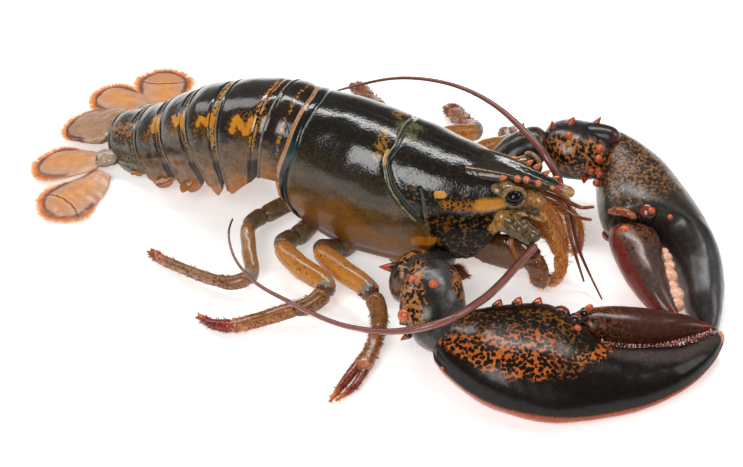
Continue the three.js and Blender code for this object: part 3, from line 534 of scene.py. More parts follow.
def wetShell(name, look):
    # Wet chitin: hard dark shell under a film of water, so a mid-rough base with a sharp coat, fine
    # pits that break the highlights into grains, and colours deepened by the water
    relief, coat = look.get("relief", 0.5), look.get("coat", 0.9)
    material, tree, shader = newFinish(
        name, Roughness=look.get("roughness", 0.3), IOR=1.45, Specular_IOR_Level=0.1, Coat_Weight=coat,
        Coat_Roughness=look.get("coatRoughness", 0.06), Coat_IOR=1.5)
    place = addNode(tree, "TexCoord").outputs["Object"]
    cloud = addNode(tree, "TexNoise", {
        "Scale": 1 / (look.get("cloud", 3) * mm), "Detail": 5, "Roughness": 0.65}, {"Vector": place})
    fine = addNode(tree, "TexNoise", {"Scale": 1 / (speckleSize * mm), "Detail": 2}, {"Vector": place})
    fine = fine.outputs["Fac"]
    low, high = cloudSpan
    ramp = addNode(tree, "MapRange", {"From Min": low, "From Max": high}, {"Value": cloud.outputs["Fac"]})
    ramp = ramp.outputs["Result"]
    dark, light = look["ground"]
    colour = addNode(tree, "MixRGB", {}, {"Fac": ramp, "Color1": dark, "Color2": light}).outputs[0]
    for paint in look.get("layers", ()):
        dark, light = paint["colours"]
        fresh = addNode(tree, "MixRGB", {}, {"Fac": ramp, "Color1": dark, "Color2": light}).outputs[0]
        if "spots" in paint:
            code, *spacing = paint["spots"]
            spots = spotsMask(tree, place, *spacing)
            fresh = addNode(tree, "MixRGB", {}, {"Fac": spots, "Color1": fresh, "Color2": code}).outputs[0]
        mask = layerMask(tree, place, fine, paint)
        colour = addNode(tree, "MixRGB", {}, {"Fac": mask, "Color1": colour, "Color2": fresh}).outputs[0]
    water = look.get("water", 0.8)
    wet = addNode(tree, "MixRGB", {"blend_type": "MULTIPLY", "Fac": 1, "Color2": (water,) * 3 + (1,)},
                  {"Color1": colour})
    tree.links.new(wet.outputs["Color"], shader.inputs["Base Color"])
    pits = addNode(tree, "TexNoise", {"Scale": 1 / (look.get("pit", 0.7) * mm), "Detail": 2},
                   {"Vector": place})
    for socket, strength in (("Normal", relief), ("Coat Normal", relief * look.get("filmShare", 0.3))):
        dents = addNode(tree, "Bump", {"Strength": strength, "Distance": pitDepth * mm},
                        {"Height": pits.outputs["Fac"]})
        tree.links.new(dents.outputs["Normal"], shader.inputs[socket])
    if "dry" in look:
        mark, thin = look["dry"]
        dry = addNode(tree, "Attribute", {"attribute_name": mark}).outputs["Fac"]
        film = addNode(tree, "MapRange", {"To Min": coat, "To Max": thin}, {"Value": dry})
        tree.links.new(film.outputs["Result"], shader.inputs["Coat Weight"])
    return material


def hairFinish(name, root, tip):
    # fine stiff bristles, lit through at their tips
    material, tree, shader = newFinish(name, Roughness=0.45, IOR=1.5)
    strand = addNode(tree, "Attribute", {"attribute_name": "strand"}).outputs["Fac"]
    colour = addNode(tree, "MixRGB", {}, {"Fac": strand, "Color1": root, "Color2": tip}).outputs[0]
    tree.links.new(colour, shader.inputs["Base Color"])
    return material


# Carapace: u runs rear to front, v from the right edge over the back to the left edge

carapace = {
    "half": [
        (-8, 24), (8, 27), (32, 29.5), (55, 29), (75, 26), (90, 21.5), (100, 17), (107, 12.5), (113, 8),
    ],
    "top": [(-8, 71), (6, 73.5), (28, 72.7), (48, 69.5), (66, 66), (84, 62.3), (98, 59.8), (113, 57.5)],
    "low": [
        (-8, 24), (6, 16.5), (20, 11), (34, 8), (50, 7.8), (66, 9.5), (80, 14), (92, 17), (100, 22),
        (107, 29), (113, 38),
    ],
    "rear": [(0, 3), (0.4, 0), (0.75, -5), (0.9, -4.5), (1, 2)],
    "front": [
        (0, 111), (0.14, 108), (0.27, 102), (0.4, 106.5), (0.6, 106), (0.75, 103), (0.9, 96), (1, 90),
    ],
    "turnShare": 0.68,
    "drawIn": 0.2,
    "widestShare": 0.42,
    "roundness": 0.92,
    # depth and share of the width of the hollow below
    "recess": (7, 0.6),
    "lip": 0.7,
    # grooves as (u, v) points, with depth and half width in mm
    "neckGroove": [
        (0.437, 0), (0.447, 0.06), (0.473, 0.238), (0.475, 0.307), (0.491, 0.391), (0.555, 0.495),
        (0.625, 0.575), (0.679, 0.635),
    ],
    "cheekGroove": [(0.625, 0.40), (0.645, 0.463), (0.669, 0.563), (0.709, 0.707), (0.722, 0.78)],
    "grooveDepth": 1.2,
    "grooveWidth": 1.0,
    "lengthScale": 118,
    "girthScale": 72,
    # coloured patches: chain of (u, v) points and radius in mm
    "patches": {
        "egg": ([(0.672, 0.764), (0.733, 0.762)], 3.5),
        "bead": ([(0.702, 0.403), (0.722, 0.398)], 2.3),
        "cheekPatch": ([(0.895, 0.445), (0.955, 0.44)], 6),
        "cheekTrail": ([(0.75, 0.472), (0.93, 0.45)], 5),
        "mouthPatch": ([(0.975, 0.66), (1.0, 0.71)], 5),
        "neckCream": ([(0.452, 0.215), (0.464, 0.295)], 1.3),
        "neckSpeck": ([(0.385, 0.10), (0.43, 0.27)], 5.5),
        "throat": ([(0.70, 0.62), (0.80, 0.59)], 3.5),
        "chin": ([(0.66, 0.86), (0.78, 0.88)], 5),
        "socket": ([(0.965, 0.24), (0.985, 0.36)], 3.2),
        "shoulder": ([(0.42, 0.02), (0.50, 0.05)], 4.5),
    },
    "rows": 226,
    "columns": 190,
    "innerColumns": 40,
}


def carapaceAt(u, v):
    # half superellipse over the back from the widest line up, and a side that turns under below it
    side = np.abs(v)
    rear, front = keyed(carapace["rear"], side), keyed(carapace["front"], side)
    x = rear + (front - rear) * u
    half, top, low = (keyed(carapace[k], x) for k in ("half", "top", "low"))
    middle = low + carapace["widestShare"] * (top - low)
    angle = math.pi / 2 * (1 - np.minimum(side / carapace["turnShare"], 1))
    under = np.clip((side - carapace["turnShare"]) / (1 - carapace["turnShare"]), 0, 1)
    across = half * np.cos(angle) ** carapace["roundness"] * (1 - carapace["drawIn"] * under ** 2.2)
    z = middle + (top - middle) * np.sin(angle) ** carapace["roundness"] - (middle - low) * under
    return np.stack([x, np.sign(v) * across, z], -1)


def carapaceShell():
    # back and sides raised by their grooves, rims and swellings, then the lips and the underside
    c = carapace
    u, v = np.meshgrid(np.linspace(0, 1, c["rows"]), np.linspace(-1, 1, c["columns"]), indexing="ij")
    points = carapaceAt(u, v)
    side = np.abs(v)
    x, y = u * c["lengthScale"], side * c["girthScale"]
    grooves = {}
    for name in ("neckGroove", "cheekGroove"):
        line = np.array(c[name]) * [c["lengthScale"], c["girthScale"]]
        fine = curveAt(runOf(line, 2), line, np.linspace(0, runOf(line, 2)[-1], 40), 2)
        grooves[name] = distanceTo(x, y, fine)
    width = c["grooveWidth"]
    fade = smooth(1.0, 0.85, side)
    height = -c["grooveDepth"] * bump(grooves["neckGroove"], 0, width)
    height += 0.12 * bump(grooves["neckGroove"], 2.6 * width, width)
    height -= 0.6 * c["grooveDepth"] * bump(grooves["cheekGroove"], 0, 0.8 * width)
    height += -0.7 * bump(u, 0.053, 0.006) + 0.35 * bump(u, 0.025, 0.02) + 0.3 * bump(u, 0.004, 0.006)
    height += 0.4 * bump(side, 0.985, 0.018) - 0.3 * bump(side, 0.945, 0.016)
    height += -0.25 * bump(v, 0, 0.008) * smooth(0.05, 0.1, u) * smooth(0.86, 0.8, u)
    height += fade * (0.26 * ripple(points, 26, 3) + 0.05 * ripple(points, 8, 4))
    height += 0.5 * bump(u, 0.985, 0.012) * smooth(0.2, 0.3, side)
    points = raised(points, height, wrap=False)
    neckAhead = u - keyed([(p[1], p[0]) for p in c["neckGroove"]] + [(1, 0.76)], side)
    marks = {
        "down": side,
        "neck": bump(grooves["neckGroove"], 0, 0.75) * smooth(0.72, 0.6, side),
        "pale": bump(grooves["neckGroove"], 1.3, 0.6) * (neckAhead < 0) * smooth(0.66, 0.58, side),
        "cheek": bump(grooves["cheekGroove"], 0, 0.6),
        "ahead": smooth(-0.02, 0.05, neckAhead),
        "crown": smooth(0.46, 0.26, side) * smooth(-0.02, 0.05, neckAhead),
        "band": smooth(0.056, 0.05, u) * smooth(0.0, 0.012, u),
        "teal": smooth(0.056, 0.04, u) * smooth(0.33, 0.42, side) * smooth(0.62, 0.5, side),
        "rim": smooth(0.017, 0.012, u),
        # painted highlight: a pale line along the groove behind the rear band
        "crease": bump(u, 0.055, 0.0035) * smooth(0.5, 0.35, side),
        "dry": smooth(0.52, 0.66, side) * (0.4 + 0.6 * smooth(-0.04, 0.06, neckAhead)),
    }
    for name, (line, radius) in c["patches"].items():
        marks[name] = blot(x, y, np.array(line) * [c["lengthScale"], c["girthScale"]], radius)
    # close the shell: a rounded lip at each end, then the underside with its recess
    inner = np.linspace(1, -1, c["innerColumns"])[1:-1]
    depth, share = c["recess"]
    belly = carapaceAt(np.repeat(u[:, :1], len(inner), 1), np.repeat(inner[None], len(u), 0))
    bellyX = belly[..., 0]
    half, low = keyed(c["half"], bellyX), keyed(c["low"], bellyX)
    edge = smooth(0.72, 0.95, np.abs(inner))
    wide = inner * half * (share * (1 - edge) + 0.78 * edge)
    under = np.stack([bellyX, wide, low + depth * (1 - edge)], -1)
    whole = np.concatenate([points, under], 1)
    loops = []
    for end, way in ((whole[:1], -1), (whole[-1:], 1)):
        inwards = unit(end.mean(1, keepdims=True) - end)
        forward = np.array([way, 0, 0])
        rolled = rolledEdge(end, forward, c["lip"], np.linspace(0, math.pi, 7)[1:])
        loops.append(np.concatenate(rolled + [rolled[-1] - forward * 2.0 + inwards * 0.5], 0))
    whole = np.concatenate([loops[0][::-1], whole, loops[1]], 0)
    extra = len(loops[0])
    return surfaceOf(whole, grownMarks(marks, len(inner), extra, extra, ["down"]))


shellLook = {
    "ground": ("#0a0806", "#1f1810"),
    "cloud": 1.1,
    "layers": [
        layer("down", ("#2e2510", "#42361a"), (0.22, 0.62), ragged=0.9, grain=1.6, speckle=1.0),
        layer("down", ("#5e461c", "#74532a"), (0.50, 0.74), ragged=0.35, grain=10, speckle=0.4),
        layer("down", ("#84501a", "#905c24"), (0.68, 0.80), ragged=0.5, grain=20, speckle=0.1),
        layer("down", ("#6a4830", "#7c5438"), (0.84, 0.96), ragged=0.3, grain=20, speckle=0.1),
        layer("ahead", ("#503a18", "#8c6026"), (0.3, 0.8), grain=3,
              spots=("#0b0907", 1.6, 0.62, 0.78, 1.1)),
        layer("crown", ("#0a0806", "#1b150e"), (0.3, 0.8), ragged=1.6, grain=1.5, speckle=0.9,
              share=0.9),
        layer("neckSpeck", ("#a5732a", "#806024"), (0.75, 1.05), ragged=2.2, grain=1.4, speckle=0.9),
        layer("shoulder", ("#575a3a", "#6f6a44"), (0.6, 1.1), ragged=1.6, grain=1.6, speckle=0.9),
        layer("throat", ("#80501a", "#6a4318"), (0.7, 0.95), ragged=2.2, grain=2.2,
              spots=("#0b0907", 1.5, 0.40, 0.54, 0.5)),
        layer("chin", ("#8a5a1a", "#5c4318"), (0.6, 0.85), ragged=2.0, grain=2.2),
        layer("cheekTrail", ("#b06a12", "#9a5a12"), (0.45, 0.95), ragged=1.0, grain=2.0,
              spots=("#14100a", 1.6, 0.36, 0.50, 0.5)),
        layer("cheekPatch", ("#d6841c", "#e8a43a"), (0.35, 0.85), ragged=0.4, grain=2.0),
        layer("mouthPatch", ("#c08438", "#dcae68"), (0.4, 0.7), ragged=0.8, grain=2.2),
        layer("socket", ("#6e5a30", "#9a8450"), (0.4, 0.7), ragged=0.9, grain=1.6, speckle=0.8),
        layer("neck", ("#10302c", "#1f4038"), (0.4, 0.9), ragged=0.8, grain=3),
        layer("pale", ("#b8a078", "#8d8260"), (0.45, 0.9), ragged=1.3, grain=2.4),
        layer("cheek", ("#23413a", "#6a7050"), (0.5, 0.9), ragged=1.4),
        layer("neckCream", ("#d8b488", "#c08c50"), (0.4, 0.75), grain=1.6),
        layer("egg", ("#c07414", "#cc8222"), (0.45, 0.6), ragged=0.4, grain=1.6, speckle=0.2),
        layer("bead", ("#dd9a30", "#e0a03c"), (0.4, 0.55), ragged=0.5, grain=1.2, speckle=0.2),
        layer("band", ("#0b1012", "#161c20"), ragged=0.2, grain=4, speckle=0.1),
        layer("teal", ("#0f4a44", "#1c3f3c"), (0.4, 0.9), ragged=0.4, grain=3, share=0.7),
        # painted highlight: pale line in the groove behind the rear band
        layer("crease", ("#7d7c74", "#a3a196"), (0.4, 0.8), ragged=0.6, grain=4),
        layer("rim", ("#b4784c", "#c8966e"), ragged=0.3, grain=1.5),
    ],
    "relief": 0.7,
    "filmShare": 0.5,
    "pit": 0.9,
    # mark of the drier low side, and its share of water film
    "dry": ("dry", 0.2),
}

shellFinish = wetShell("wetDarkChitin", shellLook)

rostrum = {
    "rows": [
        (80, 0, 58, 11, 3.5), (97, 0, 59, 9, 3.5), (110, 0, 58, 6, 3), (121, 0, 57, 3.6, 2.4),
        (128, 0, 55.6, 2.6, 2.4), (133, 0, 54.4, 2.6, 2.6),
    ],
    "spines": [
        (107.5, -6.0, 60.4, 0.6, -0.5, 0.55, 1.9, 2.6), (111.3, -4.9, 60.2, 0.6, -0.5, 0.55, 1.9, 2.6),
        (116.6, -3.7, 58.9, 0.7, -0.4, 0.5, 1.8, 2.5), (108.4, 5.8, 60.2, 0.6, 0.5, 0.6, 1.5, 3.6),
        (112.4, 4.8, 60.0, 0.6, 0.5, 0.6, 1.5, 3.6), (117.5, 3.4, 59.2, 0.7, 0.5, 0.55, 1.4, 3.4),
        (122, 2.8, 58.2, 0.8, 0.5, 0.4, 1.2, 3.2), (123, -2.9, 57.6, 0.8, -0.4, 0.4, 1.2, 2.2),
        (100.2, 7.4, 59.6, 0.8, 0.1, 0.5, 1.6, 3.6), (100.2, -7.4, 59.6, 0.8, -0.1, 0.5, 1.6, 3.6),
    ],
}


def rostrumBlade():
    # rod with a hollow along its top between two raised keels
    rod = rodGrid(rostrum["rows"], rings=90, count=72, power=2.1, caps=8)
    across, rise = rod["across"], rod["rise"]
    keels = bump(across, 0.72, 0.2) + bump(across, -0.72, 0.2)
    hollow = 1.7 * bump(across, 0, 0.5) * smooth(0, 0.35, rod["t"]) * smooth(1, 0.8, rod["t"])
    height = np.where(rise > -0.2, 0.75 * keels * (1 - 0.6 * rod["t"]) - hollow, 0) * rod["full"]
    points = raised(rod["points"], height + 0.04 * ripple(rod["points"], 1.5, 12))
    marks = {
        "tipward": rod["t"],
        "keel": keels * (rise > -0.2),
        "hollow": bump(across, 0, 0.5) * (rise > 0),
        "upper": smooth(-0.1, 0.25, rise) * smooth(0.95, 0.85, rod["t"]),
        "redSpot": bump(rod["t"], 0.86, 0.03),
    }
    return surfaceOf(points, marks)


halfBall = (2, 0.5)


def spinesOfRows(rows, **options):
    # row: foot x, y, z, direction x, y, z, radius, height
    rows = np.asarray(rows, float)
    return cones(rows[:, :3], rows[:, 3:6], rows[:, 6], rows[:, 7], **options)


def knobsOfRows(rows):
    # the same rows as half balls: width is the square root of 1 - height squared
    return spinesOfRows(rows, blunt=halfBall)


def rimTicks():
    # short hairs along the rear rim, each from a point of the rim backwards and a little outwards
    rng = np.random.default_rng(7)
    v = np.sort(rng.uniform(-0.74, 0.74, rimHairs["number"]))
    foot = carapaceAt(0 * v + 0.008, v)
    outwards = unit(foot - [foot[:, 0].mean(), 0, 45])
    direction = outwards * 0.45 + [-1, 0, 0] + 0.12 * rng.normal(size=foot.shape)
    return hairsOf(foot, direction, rimHairs["length"] * rng.uniform(0.6, 1.1, len(v)), rimHairs["radius"])


rimHairs = {"number": 240, "length": 1.5, "radius": 0.11}
spineLook = {
    "ground": ("#231a12", "#33241a"),
    "cloud": 1.2,
    "layers": [layer("tip", ("#a83818", "#c8552c"), (0.10, 0.34), ragged=0.14, grain=1.4)],
    "relief": 0.12,
}
spineFinish = wetShell("redOrangeSpine", spineLook)
paleSpineFinish = wetShell("paleOrangeSpine", {
    "ground": ("#6a4424", "#8a5a34"),
    "cloud": 1.2,
    "layers": [layer("tip", ("#c0582a", "#e08a54"), (0.05, 0.3), ragged=0.14, grain=1.4)],
    "relief": 0.12,
})
rostrumFinish = wetShell("rostrumShell", {
    "ground": ("#3c2c18", "#705434"),
    "cloud": 1.0,
    "layers": [
        layer("upper", ("#14110d", "#2a2620"), ragged=0.5, grain=1.6),
        layer("hollow", ("#14110d", "#3a3024"), (0.3, 0.7), ragged=0.6, grain=1.6),
        layer("keel", ("#6e4c1a", "#3d2c12"), (0.45, 0.8), ragged=0.7, grain=1.4, share=0.8),
        layer("tipward", ("#a07442", "#caa06c"), (0.86, 0.93), ragged=0.2),
        layer("redSpot", ("#b8402a", "#8a3a24"), (0.5, 0.8), ragged=0.4, grain=1.4),
    ],
})
tickFinish = hairFinish("tanRimHairs", "#6a4428", "#a87850")

makePiece("carapace_shell", carapaceShell(), shellFinish, "shell_dark", "carapace")
makePiece("rostrum_blade", rostrumBlade(), rostrumFinish, "shell_dark")
makePiece("rostrum_spines", spinesOfRows(rostrum["spines"], blunt=(1.6, 0.7)), paleSpineFinish, "shell_dark")
makePiece("rear_rim_hairs", rimTicks(), tickFinish, "shell_dark")
print("carapace and rostrum made")


# Abdomen: rings front to rear; row: x, y, z of the top, tilt, yaw, half width, arch height, flap length

abdomen = {
    "rings": [
        (8, 0, 70.5, -2, 0, 23, 28, 5), (-11, 0.5, 74, -2, 4, 25.4, 28, 9),
        (-41, 2, 64.5, 14, 0, 25.5, 27, 17), (-61.5, 4, 53.5, 29, -1, 24.3, 25, 17),
        (-78.5, 7, 40.7, 28, -3, 22.3, 22, 15), (-94.5, 10, 28.9, 27, -1, 19.8, 18, 12),
        (-112.5, 12.5, 18.2, 28, -2, 15.7, 12, 6),
    ],
    "flaps": [
        [(0, 0.5), (0.5, 0.9), (1, 0.8)], [(0, 0.72), (0.2, 0.96), (0.8, 1), (1, 0.8)],
        [(0, 0.5), (0.45, 0.86), (0.8, 1), (1, 0.62)], [(0, 0.45), (0.45, 0.86), (0.8, 1), (1, 0.6)],
        [(0, 0.4), (0.45, 0.86), (0.8, 1), (1, 0.6)], [(0, 0.3), (0.45, 0.9), (0.8, 1), (1, 0.5)],
    ],
    "tuck": 1.3,
    "archShare": 0.7,
    "innerShare": 0.86,
    "roundness": 0.92,
    "rows": 50,
    "columns": 160,
    "innerColumns": 46,
    "lip": 0.5,
    # bright mark on each ring: (s, v) points and radius in mm
    "brands": [
        ([(0.5, 0.3), (0.51, 0.3)], 0),
        ([(0.613, 0.423), (0.569, 0.315), (0.429, 0.407), (0.34, 0.445), (0.305, 0.33), (0.246, 0.383)],
         1.75),
        ([(0.525, 0.347), (0.443, 0.279), (0.271, 0.347), (0.188, 0.271), (0.12, 0.36)], 1.8),
        ([(0.43, 0.215), (0.30, 0.295), (0.21, 0.215), (0.10, 0.325), (0.05, 0.225)], 2.3),
        ([(0.26, 0.28), (0.18, 0.16), (0.07, 0.15), (0.09, 0.27)], 3.4), ([(0.43, 0.234), (0.5, 0.12)], 0),
    ],
    "lengthScale": 23,
    "girthScale": 60,
    # how strongly the front strip of each ring is mottled orange, and where it runs
    "strips": ((0.7, 0.6), (1.15, 0.2), (1.1, 0.1), (0.95, 0.05), (0.8, 0.04), (0, 0.1)),
    "bulge": 0.55,
}


def ringFrame(p):
    # p rings from the front: middle of the back, ways down and sideways, half width, arch, flap
    row = curveAt(np.arange(7), abdomen["rings"], p, 8)
    tilt, yaw = np.radians(row[..., 3]), np.radians(row[..., 4])
    down = np.stack([np.sin(tilt) * np.cos(yaw), -np.sin(tilt) * np.sin(yaw), -np.cos(tilt)], -1)
    side = np.stack([np.sin(yaw), np.cos(yaw), 0 * yaw], -1)
    return row[..., :3], down, side, row[..., 5], row[..., 6], row[..., 7]


def ringAt(k, s, v):
    # arch over the back, then a flap that hangs down each side by its own length
    a = abdomen
    top, down, side, half, arch, length = ringFrame(k + s)
    share = np.abs(v)
    tuck = a["tuck"] * (1 - np.clip(s / 0.3, 0, 1)) ** 2
    angle = math.pi / 2 * (1 - np.minimum(share / a["archShare"], 1))
    low = np.clip((share - a["archShare"]) / (1 - a["archShare"]), 0, 1)
    flap = length * keyed(a["flaps"][k], s)
    across = (half - tuck) * np.cos(angle) ** a["roundness"] * (1 + 0.05 * low)
    drop = tuck + (arch - tuck) * (1 - np.sin(angle) ** a["roundness"]) + flap * low
    return top + side * (np.sign(v) * across)[..., None] + down * drop[..., None]


def ringInside(k, s, v):
    # inner wall: flat below the arch, and behind each flap drawn in by innerShare
    a = abdomen
    top, down, side, half, arch, length = ringFrame(k + s)
    share = np.abs(v)
    under = np.clip(share / a["archShare"], 0, 1)
    low = np.clip((share - a["archShare"]) / (1 - a["archShare"]), 0, 1)
    flap = length * keyed(a["flaps"][k], s)
    across = np.sign(v) * (half - a["tuck"]) * (a["innerShare"] * under + 0.1 * low)
    drop = arch * (1.12 - 0.06 * under ** 2) + (flap - arch * 0.06) * low
    return top + side * across[..., None] + down * drop[..., None]


def ringShell(k):
    # outer grid with its crease, rim and swellings, the inner grid and a rolled lip at the rear
    a = abdomen
    s, v = np.meshgrid(np.linspace(0, 1, a["rows"]), np.linspace(-1, 1, a["columns"]), indexing="ij")
    points = ringAt(k, s, v)
    share = np.abs(v)
    low = smooth(a["archShare"], 1, share)
    height = 0.35 * bump(s, 0.975, 0.02) - 0.25 * bump(s, 0.93, 0.02) - 0.5 * bump(s, 0.2, 0.03) * (1 - low)
    height += 0.7 * bump(share, 0.72, 0.05) * bump(s, 0.55, 0.3)
    height -= 0.35 * bump(share, 0.64, 0.03) * bump(s, 0.5, 0.3)
    height += 0.5 * bump(share, 0.87, 0.07) * bump(s, 0.6, 0.25)
    height += 0.12 * ripple(points, 17, 20 + k) + 0.03 * ripple(points, 5, 30 + k)
    height += a["bulge"] * bump(s, 0.72, 0.26) * (1 - low)
    points = raised(points, height, wrap=False)
    line, radius = a["brands"][k]
    line = np.array(line) * [a["lengthScale"], a["girthScale"]]
    middle = line.mean(0) + [-1.2, 7]
    x, y = s * a["lengthScale"], share * a["girthScale"]
    strength, stripPlace = a["strips"][k]
    marks = {
        "down": share,
        "brand": blot(x, y, line, radius) if radius else 0 * s,
        "strip": strength * bump(s, stripPlace, 0.075) * smooth(0.66, 0.54, share),
        "fold": bump(s, 0.2, 0.022) * (1 - low),
        # painted highlight: a pale line along the ring's rear edge
        "edge": smooth(0.95, 0.97, s),
        # painted shade on the front of each flap, where it curves in under the ring ahead
        "flapFront": smooth(0.34, 0.24, s) * smooth(0.62, 0.70, share),
        "flapTip": smooth(0.82, 1.0, share),
        "patch": bump(x, middle[0], 4.6) * bump(y, middle[1], 6) if radius else 0 * s,
        "teal": (k == 0) * smooth(0.34, 0.5, share) * smooth(0.45, 0.0, s),
        "skin": (k == 0) * smooth(0.70, 0.82, share) * smooth(0.05, 0.2, s),
        "scatter": bump(share, 0.36, 0.17) * smooth(0.95, 0.6, s) * (0 < k < 5),
        "dots": (k == 5) * bump(share, 0.22, 0.26) * smooth(0.95, 0.8, s),
        "dry": 0.8 * smooth(0.44, 0.6, share),
    }
    inner = np.linspace(1, -1, a["innerColumns"])
    under = ringInside(k, *np.meshgrid(s[:, 0], inner, indexing="ij"))
    whole = np.concatenate([points, under], 1)
    back = unit(whole[-1].mean(0) - whole[-3].mean(0))
    lip = rolledEdge(whole[-1:], back, a["lip"], np.linspace(0, math.pi / 2, 5)[1:])
    whole = np.concatenate([whole] + lip, 0)
    return surfaceOf(whole, grownMarks(marks, len(inner), 0, len(lip), ["down", "flapTip"]))


ringLook = {
    "ground": ("#120d09", "#2e2016"),
    "cloud": 1.1,
    "layers": [
        layer("scatter", ("#8a5a1c", "#6c5020"), (0.78, 1.1), ragged=2.6, grain=1.2, speckle=0.9),
        layer("patch", ("#4a360c", "#5e4410"), (0.4, 0.8), ragged=0.7, grain=2.5, speckle=0.9),
        layer("down", ("#5e4630", "#806244"), (0.46, 0.66), ragged=0.5, grain=6, speckle=0.15),
        layer("down", ("#885a34", "#a87548"), (0.70, 0.9), ragged=0.8, grain=6, speckle=0.3),
        layer("flapTip", ("#a85f26", "#b87238"), (0.4, 0.8), ragged=1.2, grain=4, speckle=0.3),
        # painted shade: darker front of each flap, curving in under the ring ahead
        layer("flapFront", ("#17191a", "#2e2b2a"), (0.4, 0.9), ragged=0.5, grain=4, speckle=0.2,
              share=0.9),
        layer("strip", ("#b0701c", "#c88c38"), (0.5, 0.8), ragged=1.8, grain=2.0, speckle=0.9,
              spots=("#130f08", 1.4, 0.36, 0.5, 0.5)),
        layer("brand", ("#c87614", "#d8942c"), (0.4, 0.66), ragged=1.7, grain=1.7, speckle=0.6),
        layer("teal", ("#1c4038", "#7a5a24"), (0.5, 0.9), ragged=1.2, speckle=0.8),
        layer("skin", ("#8c5828", "#a87444"), (0.4, 0.7), ragged=0.8, grain=4),
        layer("fold", ("#0a0b0a", "#101213"), (0.5, 0.8), ragged=0.4, grain=3),
        # painted highlight: pale line along each ring's rear edge
        layer("edge", ("#4a463c", "#8a8068"), ragged=0.3, grain=3),
    ],
    "relief": 0.7,
    "dry": ("dry", 0.25),
}
ringFinish = wetShell("wetRingChitin", ringLook)
lastRingFinish = wetShell("speckledRingChitin", {
    "ground": ("#14130e", "#3a3428"),
    "cloud": 0.9,
    "layers": [
        layer("down", ("#5e5440", "#786a52"), (0.1, 0.6), ragged=1.6, grain=1.6, speckle=1.2,
              spots=("#100f0b", 1.2, 0.30, 0.46, 0.6)),
        layer("dots", ("#b87844", "#a0683c"), (0.85, 1.1), ragged=2.4, grain=1.5, speckle=0.6),
        layer("flapTip", ("#4a3a26", "#5e4a34"), (0.4, 0.8), ragged=1.2, grain=4, speckle=0.3),
        # painted highlight: pale line along the last ring's rear edge
        layer("edge", ("#3f3d38", "#6b665d"), ragged=0.3, grain=3),
    ],
    "relief": 0.8,
})
for k in range(6):
    finish = lastRingFinish if k == 5 else ringFinish
    makePiece(f"ring_{k + 1}_shell", ringShell(k), finish, "shell_dark", f"tail_ring_{k + 1}")
print("abdomen rings made")


# Tail fan: rows x, y, z, half width, half thickness; the blades are symmetrical about its middle

fan = {
    "middle": 15,
    "telson": [
        (-111, 14, 12, 14, 2.8), (-119, 14.5, 10.5, 16, 2.4), (-129, 15, 7.8, 14.5, 1.8),
        (-137, 15, 5.8, 12.5, 1.4), (-142, 15, 4.8, 9, 1.1),
    ],
    "foot": [(-103, 18, 9, 4.5, 3.6), (-109, 21, 7.6, 6, 3.4), (-114, 23.5, 6.6, 5.5, 2.4)],
    "inner": [
        (-112, 22, 6.2, 6, 1.4), (-119, 25.5, 5.4, 9.5, 1.2), (-128, 28.5, 4.2, 12, 1),
        (-137, 31, 3, 12, 0.9), (-142.5, 31.5, 2.4, 7.5, 0.7),
    ],
    "outer": [
        (-107, 28, 4.4, 5, 1.3), (-108, 37, 3, 9, 1.1), (-112, 48, 2, 13, 0.9), (-116, 58, 1.5, 14.5, 0.8),
        (-118.5, 65, 1.3, 10, 0.7),
    ],
    "ribs": 17,
    "telsonRibs": 11,
    # share of the blade's length at which the toothed seam of the outer blades lies
    "suture": {"inner": None, "outer": 0.66},
    # hairs of the fringe: length, number, share of the blade's length where they start
    "fringe": {"telson": (3.84, 700, 0.6), "inner": (4.8, 800, 0.42), "outer": (4.8, 800, 0.42)},
    # share of a blade's length from which its sides close in a half ellipse
    "roundFrom": {"telson": 0.66, "inner": 0.58, "outer": 0.52},
}


def bladeRound(part):
    # width as it is up to start, then the square root of 1 - ((t - start) / (1 - start)) squared
    start = fan["roundFrom"][part]

    def swell(t):
        reach = np.clip((t - start) / (1 - start), 0, 1)
        return np.maximum(np.sqrt(np.maximum(1 - reach ** 2.3, 0)), 0.02)
    return swell


def fanRows(name, sign):
    # the telson's rows stand as they are, the others are shares of the way out from the middle
    if name == "telson":
        return fan[name]
    return [(x, fan["middle"] + sign * y, z, a, b) for x, y, z, a, b in fan[name]]


def bladeSurface(part, rows, seed, ribs, suture=None, rings=90, count=72):
    # flat rod with fine ribs that fan out from its root, a thin dark rim and, on the outer blades, a
    # toothed seam across
    rod = rodGrid(rows, rings=rings, count=count, power=2.3, caps=10, swell=bladeRound(part))
    across, t = rod["across"], rod["t"]
    height = 0.06 * np.cos(across * ribs * math.pi) * smooth(0, 0.1, 1 - np.abs(across)) * rod["full"]
    height += 0.35 * bump(across, 0.15, 0.08) * (1 - 0.5 * t) * rod["full"]
    seam = 0 * t
    if suture:
        wave = suture + 0.10 * across ** 2 + 0.014 * np.abs((across * 18) % 2 - 1)
        seam = bump(t, wave, 0.013)
        height += -0.4 * seam + 0.25 * smooth(0, 0.012, t - wave) * smooth(0.08, 0.02, t - wave)
    height += 0.08 * ripple(rod["points"], 5, seed)
    points = raised(rod["points"], height * np.clip(rod["full"] * 1.2, 0, 1))
    width = np.abs(points - points.mean(1, keepdims=True)).max(1).max(-1)[:, None]
    tipGap = (1 - t) * runOf(rows)[-1]
    gap = np.minimum(width * (1 - np.abs(across)), tipGap)
    outer = smooth(0.25, 0.55, t)
    core = bump(across, 0.1, 0.5) * smooth(0.0, 0.3, t) * smooth(1, 0.7, t)
    beyond = smooth(0, 0.02, t - suture - 0.10 * across ** 2) if suture else 0 * t
    marks = {
        "edge": smooth(4.4, 1.8, gap) * outer,
        "rim": smooth(0.9, 0.4, gap) * outer,
        "ribs": 0.5 + 0.5 * np.cos(across * ribs * math.pi),
        "seam": seam,
        "t": t,
        "core": core,
        "beyond": beyond,
    }
    return surfaceOf(points, marks)


